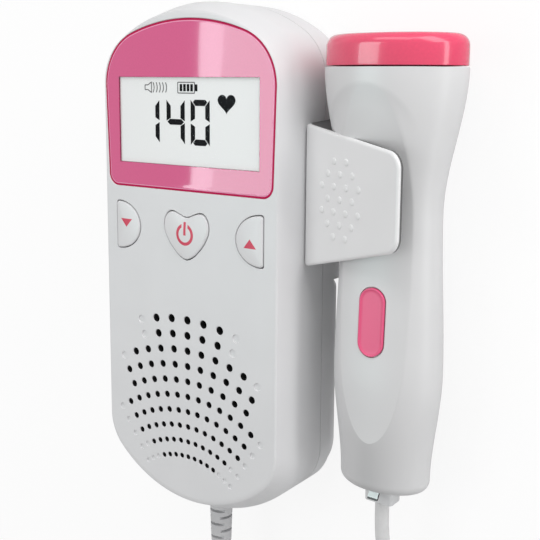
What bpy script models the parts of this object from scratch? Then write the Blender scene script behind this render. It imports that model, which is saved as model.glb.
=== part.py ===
"""A pocket fetal heartbeat monitor: a display unit, and an ultrasound probe held in a clip on its side.

Metres, +Z out of the display, +Y towards the display end, +X towards the probe. The origin is the middle of
the unit's back, on which it lies. Every sub-part is its own closed solid, and every moving one hangs on an
empty that stands on its joint's axis.
"""

import math

import bmesh
import bpy
from mathutils import Matrix, Vector

# Clearances shared by all pieces
GAP = 0.0003
OVERRUN = 0.004
OVERLAP = 0.0006

# The unit's outline at its widest, and how its face draws in from there
UNIT_HALF_WIDTH = 0.0303
UNIT_HALF_LENGTH = 0.0682
UNIT_DEPTH = 0.0280
TOP_CROWN_SHARE = 1.386
TOP_CORNER_SHARE = 0.495
BOTTOM_CROWN_SHARE = 1.254
BOTTOM_CORNER_SHARE = 0.462
FACE_IN_SIDE = 0.0016
FACE_IN_TOP = 0.0029
FACE_IN_BOTTOM = 0.0042
BAND_HEIGHT = 0.0080
BAND_SHARES = ((-0.12, 0.0), (0.06, 0.02), (0.25, 0.2), (0.94, 0.86), (1.0, 1.0))
CORNER_STEPS = 4
CROWN_STEPS = 8

# The two case shells
PARTING_Z = 0.0097
SIDE_WALL = 0.0020
FRONT_WALL = 0.0028
BACK_WALL = 0.0018
BACK_EDGE = 0.0024
BACK_EDGE_SHARES = ((1.0, 0.0), (0.5, 0.13), (0.15, 0.5), (0.0, 1.0))

# The battery door and its recess in the rear case
DOOR_OVER_BAY = 0.0020
DOOR_DEPTH = 0.0043
DOOR_IN = 0.0011
DOOR_WALL = 0.0014
DOOR_FLOOR = 0.0016
DOOR_CORNER = 0.0025
DOOR_EDGE = 0.0016
DOOR_GRIP_WIDTH = 0.0120
DOOR_GRIP_PITCH = 0.0022
DOOR_GRIP_RIBS = 4
DOOR_GRIP_DEPTH = 0.0005
DOOR_GRIP_FROM_END = 0.0242

# The battery bay
CELL_RADIUS = 0.00725
CELL_LENGTH = 0.0492
CELL_NIB_RADIUS = 0.0026
CELL_NIB_LENGTH = 0.0013
CELL_BOTTOM_Z = 0.0023
CELL_SPACING = 0.0003
BAY_WALL = 0.0011
BAY_FROM_END = 0.0074
CONTACT_THICKNESS = 0.0004
CONTACT_HALF_WIDTH = 0.0055
SPRING_RADIUS = 0.0028
SPRING_WIRE = 0.0005
SPRING_LENGTH = 0.0020
SPRING_CURLS = 3
SPRING_TIP_SHARE = 0.6

# The speaker grille: rows of holes on rays from a focus beyond the unit's lower end
GRILLE_FOCUS_OUT = 0.0090
GRILLE_PITCH = 0.0042
GRILLE_FIRST_ROW = 15
GRILLE_ANGLE = math.radians(5)
GRILLE_OPEN = (2, 2, 4, 5, 5, 6, 6, 6, 5, 4)
GRILLE_BLIND = (1, 1, 1, 0, 0, 1, 1, 1, 2, 3)
GRILLE_OUTER_HOLE = 0.0021
GRILLE_INNER_HOLE = 0.0011
DIMPLE_DEPTH = 0.0004
GRILLE_SIDES = 6

# The speaker under it
SPEAKER_FROM_END = 0.0362
SPEAKER_RADIUS = 0.0180
SPEAKER_RIM = 0.0022
SPEAKER_HEIGHT = 0.0038
SPEAKER_SEAT_RADIUS = 0.0095
SPEAKER_METAL = 0.0005
CONE_THICKNESS = 0.0004
MAGNET_RADIUS = 0.0085
MAGNET_HEIGHT = 0.0023
ROUND_SIDES = 20

# The window, its print and the display under it
WINDOW_FROM_FACE_SIDE = 0.00065
WINDOW_FOOT_IN = 0.00075
WINDOW_BOTTOM_Y = 0.0202
WINDOW_FROM_END = 0.0049
WINDOW_CROWN_SHARE = 1.996
WINDOW_CORNER_SHARE = 0.499
WINDOW_FOOT_CORNER = 0.0030
WINDOW_THICKNESS = 0.0010
WINDOW_SINK = 0.0001
PRINT_THICKNESS = 0.0002
VIEW_IN_SIDE = 0.0047
VIEW_BOTTOM_Y = 0.0265
VIEW_IN_TOP = 0.0143
VIEW_MARGIN = 0.0012
LCD_THICKNESS = 0.0020
LCD_BORDER = 0.0024
BACKLIGHT_THICKNESS = 0.0022

# The circuit board
BOARD_THICKNESS = 0.0016
BOARD_FROM_SIDE = 0.0048
BOARD_FROM_MAGNET = 0.0110

# The three buttons
BUTTON_TRAVEL = 0.0005
BUTTON_PROUD = 0.0003
BUTTON_DOME = 0.0004
BUTTON_DOME_SHARE = 0.86
BUTTON_CLEARANCE = 0.0003
FLANGE_THICKNESS = 0.0010
FLANGE_WIDTH = 0.0009
HEART_HALF_WIDTH = 0.0074
HEART_HEIGHT = 0.0122
HEART_TIP_Y = 0.0022
HEART_SHARES = ((0.25, 0.935), (0.47, 0.985), (0.65, 1.0), (0.83, 0.955), (0.95, 0.85), (1.0, 0.70),
                (0.97, 0.58), (0.88, 0.463), (0.73, 0.32), (0.51, 0.18), (0.27, 0.06), (0.09, 0.008))
HEART_NOTCH_SHARE = 0.893
SIDE_BUTTON_FROM_SIDE = 0.0057
SIDE_BUTTON_WIDTH = 0.0082
SIDE_BUTTON_HALF_HEIGHT = 0.00635
SIDE_BUTTON_Y = 0.0093
SIDE_BUTTON_CORNER_SHARE = 0.12
SIDE_BUTTON_STEPS = 12
SWITCH_HALF_WIDTH = 0.0030
SWITCH_HEIGHT = 0.0020
PLUNGER_RADIUS = 0.0016
PLUNGER_HEIGHT = 0.0018
PLUNGER_SIDES = 12

# Screws and their bosses
SCREW_RADIUS = 0.0011
SCREW_HEAD_RADIUS = 0.0021
SCREW_HEAD_HEIGHT = 0.0014
SCREW_SINK = 0.0006
SCREW_LENGTH = 0.0140
SCREW_SLOT_WIDTH = 0.0006
SCREW_SLOT_DEPTH = 0.0006
SCREW_SIDES = 12
BOSS_WALL = 0.0014
UPPER_SCREW_X = 0.0150
UPPER_SCREW_FROM_END = 0.0130
LOWER_SCREW_FROM_SIDE = 0.0068
LOWER_SCREW_FROM_END = 0.0297

# The probe: half-widths at its seam, waist, grip and tail, and how flat it is
PROBE_FROM_CASE = 0.02155
PROBE_Z = 0.0134
HEAD_HALF_WIDTH = 0.01755
HEAD_Y = 0.0515
WAIST_HALF_WIDTH = 0.0126
WAIST_Y = 0.0180
GRIP_HALF_WIDTH = 0.0139
GRIP_Y = -0.0212
TAIL_HALF_WIDTH = 0.0116
TAIL_Y = -0.0478
PROBE_END_Y = -0.0503
HEAD_FLATNESS_SHARE = 0.745
GRIP_FLATNESS_SHARE = 0.74
OVAL_HALF_WIDTH = 0.0091
OVAL_TOP_Y = 0.0481
OVAL_BOTTOM_Y = -0.0373
OVAL_CROWN_SHARE = 0.45
PROBE_WALL = 0.0018
PROBE_STEPS = 20
PROBE_END_SHARE = 0.35
PROBE_PARTING_DEPTH = 0.0045
CAP_HEIGHT = 0.0075
CAP_IN = 0.0002
CAP_EDGE = 0.0028
CAP_WALL = 0.0016
CAP_EDGE_SHARES = ((0.0, 0.0), (0.4, 0.08), (0.75, 0.35), (1.0, 1.0))
DISC_RADIUS = 0.0078
DISC_THICKNESS = 0.0012
DISC_SPLIT = 0.0008
DISC_STEPS = 8

# The badge on the probe's front
BADGE_HALF_WIDTH = 0.0033
BADGE_HALF_LENGTH = 0.0082
BADGE_Y = -0.0076
BADGE_THICKNESS = 0.0008
BADGE_SINK = 0.0004
BADGE_STEPS = 8

# The modular plug, its latch, its socket and the probe's board
PLUG_HALF_WIDTH = 0.0038
PLUG_HEIGHT = 0.0048
PLUG_BOTTOM_Z = 0.0118
PLUG_OUT = 0.0045
PLUG_IN = 0.0080
LATCH_HALF_WIDTH = 0.0016
LATCH_RISE = 0.0020
LATCH_THICKNESS = 0.0009
LATCH_OUT = 0.0014
LATCH_ROOT = 0.0004
JACK_LENGTH = 0.0115
JACK_WALL = 0.0008
PROBE_BOARD_LENGTH = 0.0330
PROBE_BOARD_HALF_WIDTH = 0.0065
PROBE_BOARD_THICKNESS = 0.0012
PROBE_SCREW_LENGTH = 0.0090
PROBE_SCREW_HIGH_Y = 0.0300
PROBE_SCREW_LOW_Y = -0.0080

# The clip that holds the probe
CLIP_ROOT_TOP_Y = 0.0381
CLIP_ROOT_BOTTOM_Y = 0.0026
CLIP_FREE_TOP_Y = 0.0328
CLIP_FREE_BOTTOM_Y = 0.0112
CLIP_ROOT_Z = 0.0188
CLIP_FREE_REACH = 0.0316
CLIP_FREE_Z = 0.0300
CLIP_ARM = 0.0021
CLIP_REAR_Z = 0.0003
CLIP_REAR_ARM = 0.0026
CLIP_REAR_ROOT_Z = 0.0046
CLIP_REAR_REACH = 0.0257
CLIP_CORNER = 0.0040
CLIP_PLAY = 0.0004
CLIP_KNEE_REACH = 0.0029
CLIP_HOLLOW_SHARE = 0.5
CLIP_STEPS = 4
DOT_ROWS = (2, 3, 4, 3, 4, 3, 2)
DOT_PITCH = 0.0042
DOT_ROW_PITCH = 0.0030
DOT_RADIUS = 0.0009
DOT_HEIGHT = 0.0003
DOT_CENTRE_REACH = 0.0127
DOT_CENTRE_Y = 0.0207
DOT_SIDES = 6
HOLDER_SCREW_LOW_Y = 0.0120
HOLDER_SCREW_HIGH_Y = 0.0280
HOLDER_SCREW_LENGTH = 0.0075

# The lead: boot, cord, coil and tie
CORD_DIAMETER = 0.0036
BOOT_Z = 0.0137
BOOT_RADIUS = 0.0033
BOOT_TIP_RADIUS = 0.0026
BOOT_LENGTH = 0.0200
BOOT_FLANGE_RADIUS = 0.0045
BOOT_FLANGE = 0.0012
BOOT_SIDES = 12
SLOT_PITCH = 0.0020
SLOT_WIDTH = 0.0008
SLOT_LEVELS = 8
SLOT_CORE = 0.0016
SLOT_FIRST = 0.0012
COIL_CENTRE_Y = -0.1220
COIL_RADIUS = 0.0245
COIL_PITCH = 0.0041
COIL_TURNS = 6.5
COIL_POINTS = 24
COIL_CLIMB_TURNS = 0.5
CORD_RESOLUTION = 2
COIL_RESOLUTION = 1
CORD_STEP_SHARE = 2.2
TIE_THICKNESS = 0.0006
TIE_PLAY = 0.0007
TIE_WIDTH = 0.0050
TIE_CORNER = 0.0015
TIE_STEPS = 3
TIE_FIRST_TURN = 0.75
TIE_LAST_TURN = 2.75

# The places across the unit and along it, worked out from the sizes above
TOP_CROWN = TOP_CROWN_SHARE * UNIT_HALF_WIDTH
TOP_CORNER = TOP_CORNER_SHARE * UNIT_HALF_WIDTH
BOTTOM_CROWN = BOTTOM_CROWN_SHARE * UNIT_HALF_WIDTH
BOTTOM_CORNER = BOTTOM_CORNER_SHARE * UNIT_HALF_WIDTH
WINDOW_HALF_WIDTH = UNIT_HALF_WIDTH - FACE_IN_SIDE - WINDOW_FROM_FACE_SIDE
WINDOW_FOOT_HALF_WIDTH = WINDOW_HALF_WIDTH - WINDOW_FOOT_IN
WINDOW_TOP_Y = UNIT_HALF_LENGTH - WINDOW_FROM_END
WINDOW_CROWN = WINDOW_CROWN_SHARE * WINDOW_HALF_WIDTH
WINDOW_CORNER = WINDOW_CORNER_SHARE * WINDOW_HALF_WIDTH
VIEW_HALF_WIDTH = WINDOW_HALF_WIDTH - VIEW_IN_SIDE
VIEW_TOP_Y = WINDOW_TOP_Y - VIEW_IN_TOP
SIDE_BUTTON_EDGE_X = UNIT_HALF_WIDTH - SIDE_BUTTON_FROM_SIDE
GRILLE_FOCUS_Y = -UNIT_HALF_LENGTH - GRILLE_FOCUS_OUT
SPEAKER_Y = -UNIT_HALF_LENGTH + SPEAKER_FROM_END
BOARD_HALF_WIDTH = UNIT_HALF_WIDTH - BOARD_FROM_SIDE
BOARD_BOTTOM_Y = SPEAKER_Y + MAGNET_RADIUS + BOARD_FROM_MAGNET
UPPER_SCREW_Y = UNIT_HALF_LENGTH - UPPER_SCREW_FROM_END
LOWER_SCREW_X = UNIT_HALF_WIDTH - LOWER_SCREW_FROM_SIDE
LOWER_SCREW_Y = -UNIT_HALF_LENGTH + LOWER_SCREW_FROM_END
BAY_BOTTOM_Y = -UNIT_HALF_LENGTH + BAY_FROM_END
CELL_END_Y = BAY_BOTTOM_Y + GAP + CONTACT_THICKNESS + SPRING_LENGTH + GAP
CELL_TOP_Y = CELL_END_Y + CELL_LENGTH
BAY_END_Y = CELL_TOP_Y + CELL_NIB_LENGTH + GAP + CONTACT_THICKNESS + GAP + BAY_WALL
DOOR_TOP_Y = BAY_END_Y + DOOR_OVER_BAY
DOOR_GRIP_TOP_Y = -UNIT_HALF_LENGTH + DOOR_GRIP_FROM_END
PROBE_X = UNIT_HALF_WIDTH + PROBE_FROM_CASE
CLIP_ROOT_X = UNIT_HALF_WIDTH + GAP
CLIP_FREE_X = CLIP_ROOT_X + CLIP_FREE_REACH
CLIP_REAR_X = CLIP_ROOT_X + CLIP_REAR_REACH
CLIP_REAR_ROOT_X = CLIP_ROOT_X + CLIP_KNEE_REACH
DOT_CENTRE_X = CLIP_ROOT_X + DOT_CENTRE_REACH

# Where the stacked pieces come to lie
FACE_Z = UNIT_DEPTH
CREASE_Z = FACE_Z - BAND_HEIGHT
CEILING_Z = FACE_Z - FRONT_WALL
WINDOW_TOP_Z = FACE_Z - WINDOW_SINK
PRINT_TOP_Z = WINDOW_TOP_Z - WINDOW_THICKNESS - GAP
LEDGE_Z = PRINT_TOP_Z - PRINT_THICKNESS - GAP
LCD_TOP_Z = CEILING_Z - GAP
BACKLIGHT_TOP_Z = LCD_TOP_Z - LCD_THICKNESS - GAP
BOARD_TOP_Z = BACKLIGHT_TOP_Z - BACKLIGHT_THICKNESS - GAP
BOARD_BOTTOM_Z = BOARD_TOP_Z - BOARD_THICKNESS
BAY_TOP_Z = BOARD_BOTTOM_Z - GAP
SWITCH_BOTTOM_Z = BOARD_TOP_Z + GAP
SWITCH_TOP_Z = SWITCH_BOTTOM_Z + SWITCH_HEIGHT
PLUNGER_BOTTOM_Z = SWITCH_BOTTOM_Z + 2 * GAP + BUTTON_TRAVEL
PLUNGER_TOP_Z = PLUNGER_BOTTOM_Z + PLUNGER_HEIGHT
BUTTON_BOTTOM_Z = PLUNGER_TOP_Z + GAP
FLANGE_TOP_Z = CEILING_Z - GAP
BAY_FLOOR_Z = DOOR_DEPTH + SIDE_WALL
CELL_X = CELL_RADIUS + CELL_SPACING
CELL_Z = CELL_BOTTOM_Z + CELL_RADIUS
BAY_HALF_WIDTH = 2 * CELL_RADIUS + CELL_SPACING + GAP
CORD_RADIUS = CORD_DIAMETER / 2
COIL_CENTRE_X = PROBE_X - COIL_RADIUS
COIL_LOW_Z = TIE_THICKNESS + GAP + CORD_RADIUS
COIL_HIGH_Z = COIL_LOW_Z + COIL_PITCH
PLUG_Z = PLUG_BOTTOM_Z + PLUG_HEIGHT / 2
PLUG_TOP_Z = PLUG_BOTTOM_Z + PLUG_HEIGHT
PLUG_END_Y = PROBE_END_Y - PLUG_OUT
PLUG_NOSE_Y = PROBE_END_Y + PLUG_IN
LATCH_START_Y = PLUG_NOSE_Y - LATCH_THICKNESS
LATCH_FREE_Y = PROBE_END_Y - LATCH_OUT
PROBE_PARTING_Z = PROBE_Z - PROBE_PARTING_DEPTH
COIL_START_Y = COIL_CENTRE_Y + CORD_DIAMETER
BOOT_END_Y = -UNIT_HALF_LENGTH - BOOT_LENGTH


# Points, rings and closed shapes

def arc(centre_x, centre_y, radius, start, end, steps):
    """Points on a circular arc from one angle to another, both ends included."""
    angles = [start + (end - start) * i / steps for i in range(steps + 1)]
    return [(centre_x + radius * math.cos(a), centre_y + radius * math.sin(a)) for a in angles]


def rounded_end(half_width, reach, corner, crown):
    """One rounded end towards +Y, right to left: a corner arc, the crown's arc and a corner arc."""
    side = half_width - corner
    crown_y = reach - crown
    corner_y = crown_y + math.sqrt((crown - corner) ** 2 - side ** 2)
    split = math.atan2(corner_y - crown_y, side)
    right = arc(side, corner_y, corner, 0, split, CORNER_STEPS)
    middle = arc(0, crown_y, crown, split, math.pi - split, CROWN_STEPS)
    left = arc(-side, corner_y, corner, math.pi - split, math.pi, CORNER_STEPS)
    return right + middle[1:-1] + left


def flipped(points):
    """The same points turned half round the Z axis."""
    return [(-x, -y) for x, y in points]


def bottom_end(side_in, bottom_in):
    """The unit's lower end, left to right, drawn in from its widest outline."""
    return flipped(rounded_end(UNIT_HALF_WIDTH - side_in, UNIT_HALF_LENGTH - bottom_in,
                               BOTTOM_CORNER - side_in, BOTTOM_CROWN - side_in))


def unit_outline(side_in, top_in, bottom_in):
    """The unit's outline, drawn in by a different amount at the sides, the top and the bottom."""
    top = rounded_end(UNIT_HALF_WIDTH - side_in, UNIT_HALF_LENGTH - top_in,
                      TOP_CORNER - side_in, TOP_CROWN - side_in)
    return top + bottom_end(side_in, bottom_in)


def lower_outline(side_in, top_y, corner):
    """The unit's outline below a straight top edge with small corners."""
    half_width = UNIT_HALF_WIDTH - side_in
    right = arc(half_width - corner, top_y - corner, corner, 0, math.pi / 2, CORNER_STEPS)
    left = arc(corner - half_width, top_y - corner, corner, math.pi / 2, math.pi, CORNER_STEPS)
    return right + left + bottom_end(side_in, side_in)


def window_outline(inset):
    """The window: a crown on top, and sides that draw in to a foot with small corners."""
    half_width = WINDOW_HALF_WIDTH - inset
    foot = WINDOW_FOOT_HALF_WIDTH - inset
    corner = WINDOW_FOOT_CORNER - inset
    bottom = WINDOW_BOTTOM_Y + inset
    top = rounded_end(half_width, WINDOW_TOP_Y - inset, WINDOW_CORNER - inset, WINDOW_CROWN - inset)
    right_foot = arc(foot - corner, bottom + corner, corner, -math.pi / 2, 0, CORNER_STEPS)
    left_foot = arc(corner - foot, bottom + corner, corner, math.pi, 3 * math.pi / 2, CORNER_STEPS)
    return top + left_foot + right_foot


def heart_outline(grow):
    """The heart-shaped button, grown outwards by a margin."""
    half_width = HEART_HALF_WIDTH + grow
    height = HEART_HEIGHT + 2 * grow
    low = HEART_TIP_Y - grow
    right = [(x * half_width, low + y * height) for x, y in HEART_SHARES]
    left = [(-x, y) for x, y in reversed(right)]
    return [(0, low)] + left + [(0, low + HEART_NOTCH_SHARE * height)] + right


def side_button_outline(side, grow):
    """A D shape: a straight outer edge with small corners, and a round inner side."""
    edge = SIDE_BUTTON_EDGE_X + grow
    half_height = SIDE_BUTTON_HALF_HEIGHT + grow
    width = SIDE_BUTTON_WIDTH + 2 * grow
    corner = SIDE_BUTTON_CORNER_SHARE * half_height
    bow = arc(0, 0, 1, math.pi / 2, 3 * math.pi / 2, SIDE_BUTTON_STEPS)
    points = [(edge - corner + (width - corner) * x, SIDE_BUTTON_Y + half_height * y) for x, y in bow]
    upper = arc(edge - corner, SIDE_BUTTON_Y + half_height - corner, corner, 0, math.pi / 2, 2)
    lower = arc(edge - corner, SIDE_BUTTON_Y - half_height + corner, corner, -math.pi / 2, 0, 2)
    points = upper[:-1] + points + lower[1:]
    return [(side * x, y) for x, y in points]


def capsule_outline(half_width, half_length, steps):
    """Two half circles and straight sides, along Y, about the origin."""
    reach = half_length - half_width
    top = arc(0, reach, half_width, 0, math.pi, steps)
    return top + flipped(top)


def at_height(points, z):
    return [Vector((x, y, z)) for x, y in points]


def along_y(points, y):
    """A ring in the plane of one Y from (x, z) points."""
    return [Vector((x, y, z)) for x, z in points]


def round_ring(centre, axis, radius, sides):
    """A regular ring about an axis."""
    turn = Vector((0, 0, 1)).rotation_difference(Vector(axis))
    angles = [2 * math.pi * i / sides for i in range(sides)]
    return [Vector(centre) + turn @ Vector((radius * math.cos(a), radius * math.sin(a), 0)) for a in angles]


def add_loft(mesh, rings):
    """A closed solid through rings of equal count, capped at both ends."""
    rows = [[mesh.verts.new(p) for p in ring] for ring in rings]
    for low, high in zip(rows, rows[1:]):
        for i in range(len(low)):
            j = (i + 1) % len(low)
            mesh.faces.new((low[i], low[j], high[j], high[i]))
    mesh.faces.new(rows[0])
    mesh.faces.new(rows[-1])


def add_turned(mesh, centre, axis, profile, sides):
    """A solid of revolution from (distance along the axis, radius) pairs."""
    direction = Vector(axis)
    add_loft(mesh, [round_ring(Vector(centre) + direction * d, axis, r, sides) for d, r in profile])


def add_block(mesh, low, high):
    """A box between two corners."""
    (x0, y0, z0), (x1, y1, z1) = low, high
    base = [(x0, y0), (x1, y0), (x1, y1), (x0, y1)]
    add_loft(mesh, [at_height(base, z0), at_height(base, z1)])


def material(name, colour, roughness, metallic=0.0, alpha=1.0):
    """The Principled material of one finish, made once."""
    found = bpy.data.materials.get(name)
    if found:
        return found
    made = bpy.data.materials.new(name)
    made.use_nodes = True
    shader = made.node_tree.nodes["Principled BSDF"]
    shader.inputs["Base Color"].default_value = (*colour, 1.0)
    shader.inputs["Roughness"].default_value = roughness
    shader.inputs["Metallic"].default_value = metallic
    shader.inputs["Alpha"].default_value = alpha
    return made


def white_plastic():
    return material("white_plastic", (0.72, 0.72, 0.73), 0.45)


def white_probe():
    return material("probe_plastic", (0.72, 0.72, 0.73), 0.40)


def pink_gloss():
    return material("pink_gloss", (0.80, 0.12, 0.27), 0.12)


def pink_print():
    return material("pink_print", (0.72, 0.13, 0.30), 0.25)


def steel():
    return material("steel", (0.60, 0.60, 0.62), 0.35, metallic=1.0)


def black_plastic():
    return material("black_plastic", (0.03, 0.03, 0.035), 0.50)


def board_green():
    return material("board", (0.02, 0.16, 0.07), 0.40)


def axis_empty(name, place):
    """An empty on a joint's axis, which the moving pieces hang on."""
    empty = bpy.data.objects.new(name, None)
    empty.location = place
    bpy.context.scene.collection.objects.link(empty)
    return empty


def finish(mesh, name, look, carrier=None):
    """Makes one object of a bmesh modelled in place, hung on an empty if it moves."""
    bmesh.ops.recalc_face_normals(mesh, faces=mesh.faces)
    if carrier:
        bmesh.ops.translate(mesh, verts=mesh.verts, vec=-carrier.location)
    data = bpy.data.meshes.new(name)
    mesh.to_mesh(data)
    mesh.free()
    data.shade_smooth()
    data.set_sharp_from_angle(angle=math.radians(35))
    made = bpy.data.objects.new(name, data)
    if look:
        data.materials.append(look)
    bpy.context.scene.collection.objects.link(made)
    made.parent = carrier
    return made


def combine(target, mesh, operation):
    """Cuts, joins or intersects a piece with a guide shape, which stays hidden."""
    guide = finish(mesh, f"{operation.lower()}_{target.name}_{len(target.modifiers)}", None)
    guide.hide_render = True
    guide.display_type = "WIRE"
    change = target.modifiers.new(guide.name, "BOOLEAN")
    change.operation = operation
    change.solver = "EXACT"
    change.object = guide


def cut(target, mesh):
    combine(target, mesh, "DIFFERENCE")


def join(target, mesh):
    combine(target, mesh, "UNION")


# Case shells

def band_ring(height_share, inset_share, wall):
    """One ring of the drafted band between the crease and the face."""
    outline = unit_outline(inset_share * FACE_IN_SIDE + wall, inset_share * FACE_IN_TOP + wall,
                           inset_share * FACE_IN_BOTTOM + wall)
    return at_height(outline, CREASE_Z + height_share * BAND_HEIGHT)


def screw_places():
    """The four case screws: two in the upper back, two under the battery door."""
    upper = [(side * UPPER_SCREW_X, UPPER_SCREW_Y, SCREW_SINK) for side in (-1, 1)]
    lower = [(side * LOWER_SCREW_X, LOWER_SCREW_Y, DOOR_DEPTH + GAP) for side in (-1, 1)]
    return upper + lower


def grille_holes():
    """Each hole's place, radius and whether it goes through."""
    span = GRILLE_PITCH * (len(GRILLE_OPEN) - 1)
    for row, (open_count, blind_count) in enumerate(zip(GRILLE_OPEN, GRILLE_BLIND)):
        reach = (GRILLE_FIRST_ROW - row) * GRILLE_PITCH
        share = row * GRILLE_PITCH / span
        radius = (GRILLE_OUTER_HOLE + share * (GRILLE_INNER_HOLE - GRILLE_OUTER_HOLE)) / 2
        last = open_count + blind_count
        for column in range(-last, last + 1):
            angle = column * GRILLE_ANGLE
            place = (reach * math.sin(angle), GRILLE_FOCUS_Y + reach * math.cos(angle))
            yield place, radius, abs(column) <= open_count


def front_case():
    ceiling_share = (CEILING_Z - CREASE_Z) / BAND_HEIGHT
    mesh = bmesh.new()
    rings = [band_ring(ceiling_share, ceiling_share, SIDE_WALL), band_ring(0, 0, SIDE_WALL),
             at_height(unit_outline(SIDE_WALL, SIDE_WALL, SIDE_WALL), PARTING_Z),
             at_height(unit_outline(0, 0, 0), PARTING_Z)]
    rings += [band_ring(height, inset, 0) for height, inset in BAND_SHARES]
    add_loft(mesh, rings)
    case = finish(mesh, "front_case", white_plastic())

    bosses = bmesh.new()
    for x, y, _ in screw_places():
        add_turned(bosses, (x, y, PARTING_Z), (0, 0, 1),
                   ((0, SCREW_RADIUS + GAP + BOSS_WALL), (CEILING_Z + OVERLAP - PARTING_Z, SCREW_RADIUS + GAP + BOSS_WALL)),
                   SCREW_SIDES)
    join(case, bosses)

    bores = bmesh.new()
    for x, y, z in screw_places():
        add_turned(bores, (x, y, PARTING_Z - OVERRUN), (0, 0, 1),
                   ((0, SCREW_RADIUS + GAP), (z + SCREW_LENGTH + GAP + OVERRUN - PARTING_Z, SCREW_RADIUS + GAP)),
                   SCREW_SIDES)
    cut(case, bores)

    recess = bmesh.new()
    add_loft(recess, [at_height(window_outline(-BUTTON_CLEARANCE), LEDGE_Z),
                      at_height(window_outline(-BUTTON_CLEARANCE), FACE_Z + OVERRUN)])
    cut(case, recess)

    openings = bmesh.new()
    add_block(openings, (-VIEW_HALF_WIDTH - VIEW_MARGIN, VIEW_BOTTOM_Y - VIEW_MARGIN, CEILING_Z - OVERRUN),
              (VIEW_HALF_WIDTH + VIEW_MARGIN, VIEW_TOP_Y + VIEW_MARGIN, LEDGE_Z + OVERLAP))
    for outline in (heart_outline(BUTTON_CLEARANCE), side_button_outline(-1, BUTTON_CLEARANCE),
                    side_button_outline(1, BUTTON_CLEARANCE)):
        add_loft(openings, [at_height(outline, CEILING_Z - OVERRUN), at_height(outline, FACE_Z + OVERRUN)])
    cut(case, openings)

    holes = bmesh.new()
    for (x, y), radius, through in grille_holes():
        low = CEILING_Z - OVERRUN if through else FACE_Z - DIMPLE_DEPTH
        add_turned(holes, (x, y, low), (0, 0, 1), ((0, radius), (FACE_Z + OVERRUN - low, radius)), GRILLE_SIDES)
    cut(case, holes)

    slot = bmesh.new()
    add_turned(slot, (0, -UNIT_HALF_LENGTH - OVERRUN, BOOT_Z), (0, 1, 0),
               ((0, BOOT_RADIUS + GAP), (SIDE_WALL + 2 * OVERRUN, BOOT_RADIUS + GAP)), BOOT_SIDES)
    cut(case, slot)
    slot_mouth = bmesh.new()
    add_block(slot_mouth, (-BOOT_RADIUS, -UNIT_HALF_LENGTH - OVERRUN, PARTING_Z - OVERRUN),
              (BOOT_RADIUS, -UNIT_HALF_LENGTH + SIDE_WALL + OVERRUN, BOOT_Z))
    cut(case, slot_mouth)

    clip_bores = bmesh.new()
    for y in (HOLDER_SCREW_LOW_Y, HOLDER_SCREW_HIGH_Y):
        add_turned(clip_bores, (UNIT_HALF_WIDTH - SIDE_WALL - OVERRUN, y, PROBE_Z), (1, 0, 0),
                   ((0, SCREW_RADIUS + GAP), (SIDE_WALL + 2 * OVERRUN, SCREW_RADIUS + GAP)), SCREW_SIDES)
    cut(case, clip_bores)


def rear_case():
    top_z = PARTING_Z - GAP
    mesh = bmesh.new()
    rings = [at_height(unit_outline(SIDE_WALL + BACK_EDGE, SIDE_WALL + BACK_EDGE, SIDE_WALL + BACK_EDGE), BACK_WALL),
             at_height(unit_outline(SIDE_WALL, SIDE_WALL, SIDE_WALL), BACK_WALL + BACK_EDGE),
             at_height(unit_outline(SIDE_WALL, SIDE_WALL, SIDE_WALL), top_z),
             at_height(unit_outline(0, 0, 0), top_z)]
    for height, inset in BACK_EDGE_SHARES:
        edge_in = inset * BACK_EDGE
        rings.append(at_height(unit_outline(edge_in, edge_in, edge_in), height * BACK_EDGE))
    add_loft(mesh, rings)
    case = finish(mesh, "rear_case", white_plastic())

    inside = SIDE_WALL - OVERLAP
    floor = bmesh.new()
    add_loft(floor, [at_height(lower_outline(inside, DOOR_TOP_Y + SIDE_WALL, DOOR_CORNER), BACK_WALL - OVERLAP),
                     at_height(lower_outline(inside, DOOR_TOP_Y + SIDE_WALL, DOOR_CORNER), BAY_FLOOR_Z)])
    join(case, floor)

    bay = bmesh.new()
    add_block(bay, (-BAY_HALF_WIDTH - BAY_WALL, BAY_BOTTOM_Y - BAY_WALL, DOOR_DEPTH + OVERLAP),
              (BAY_HALF_WIDTH + BAY_WALL, BAY_END_Y, BAY_TOP_Z))
    join(case, bay)

    bosses = bmesh.new()
    for x, y, z in screw_places():
        low = BACK_WALL - OVERLAP if z < DOOR_DEPTH else DOOR_DEPTH + OVERLAP
        add_turned(bosses, (x, y, low), (0, 0, 1),
                   ((0, SCREW_HEAD_RADIUS + GAP + BOSS_WALL), (top_z - low, SCREW_HEAD_RADIUS + GAP + BOSS_WALL)),
                   SCREW_SIDES)
    join(case, bosses)

    recess = bmesh.new()
    add_loft(recess, [at_height(lower_outline(-OVERRUN, DOOR_TOP_Y, DOOR_CORNER), -OVERRUN),
                      at_height(lower_outline(-OVERRUN, DOOR_TOP_Y, DOOR_CORNER), DOOR_DEPTH)])
    cut(case, recess)

    hollow = bmesh.new()
    add_block(hollow, (-BAY_HALF_WIDTH, BAY_BOTTOM_Y, DOOR_DEPTH - OVERRUN),
              (BAY_HALF_WIDTH, BAY_END_Y - BAY_WALL, BAY_TOP_Z - BAY_WALL))
    cut(case, hollow)

    bores = bmesh.new()
    for x, y, z in screw_places():
        profile = ((z - OVERRUN, SCREW_HEAD_RADIUS + GAP), (z + SCREW_HEAD_HEIGHT + GAP, SCREW_HEAD_RADIUS + GAP),
                   (z + SCREW_HEAD_HEIGHT + GAP, SCREW_RADIUS + GAP), (top_z + OVERRUN, SCREW_RADIUS + GAP))
        add_turned(bores, (x, y, 0), (0, 0, 1), profile, SCREW_SIDES)
    cut(case, bores)


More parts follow.
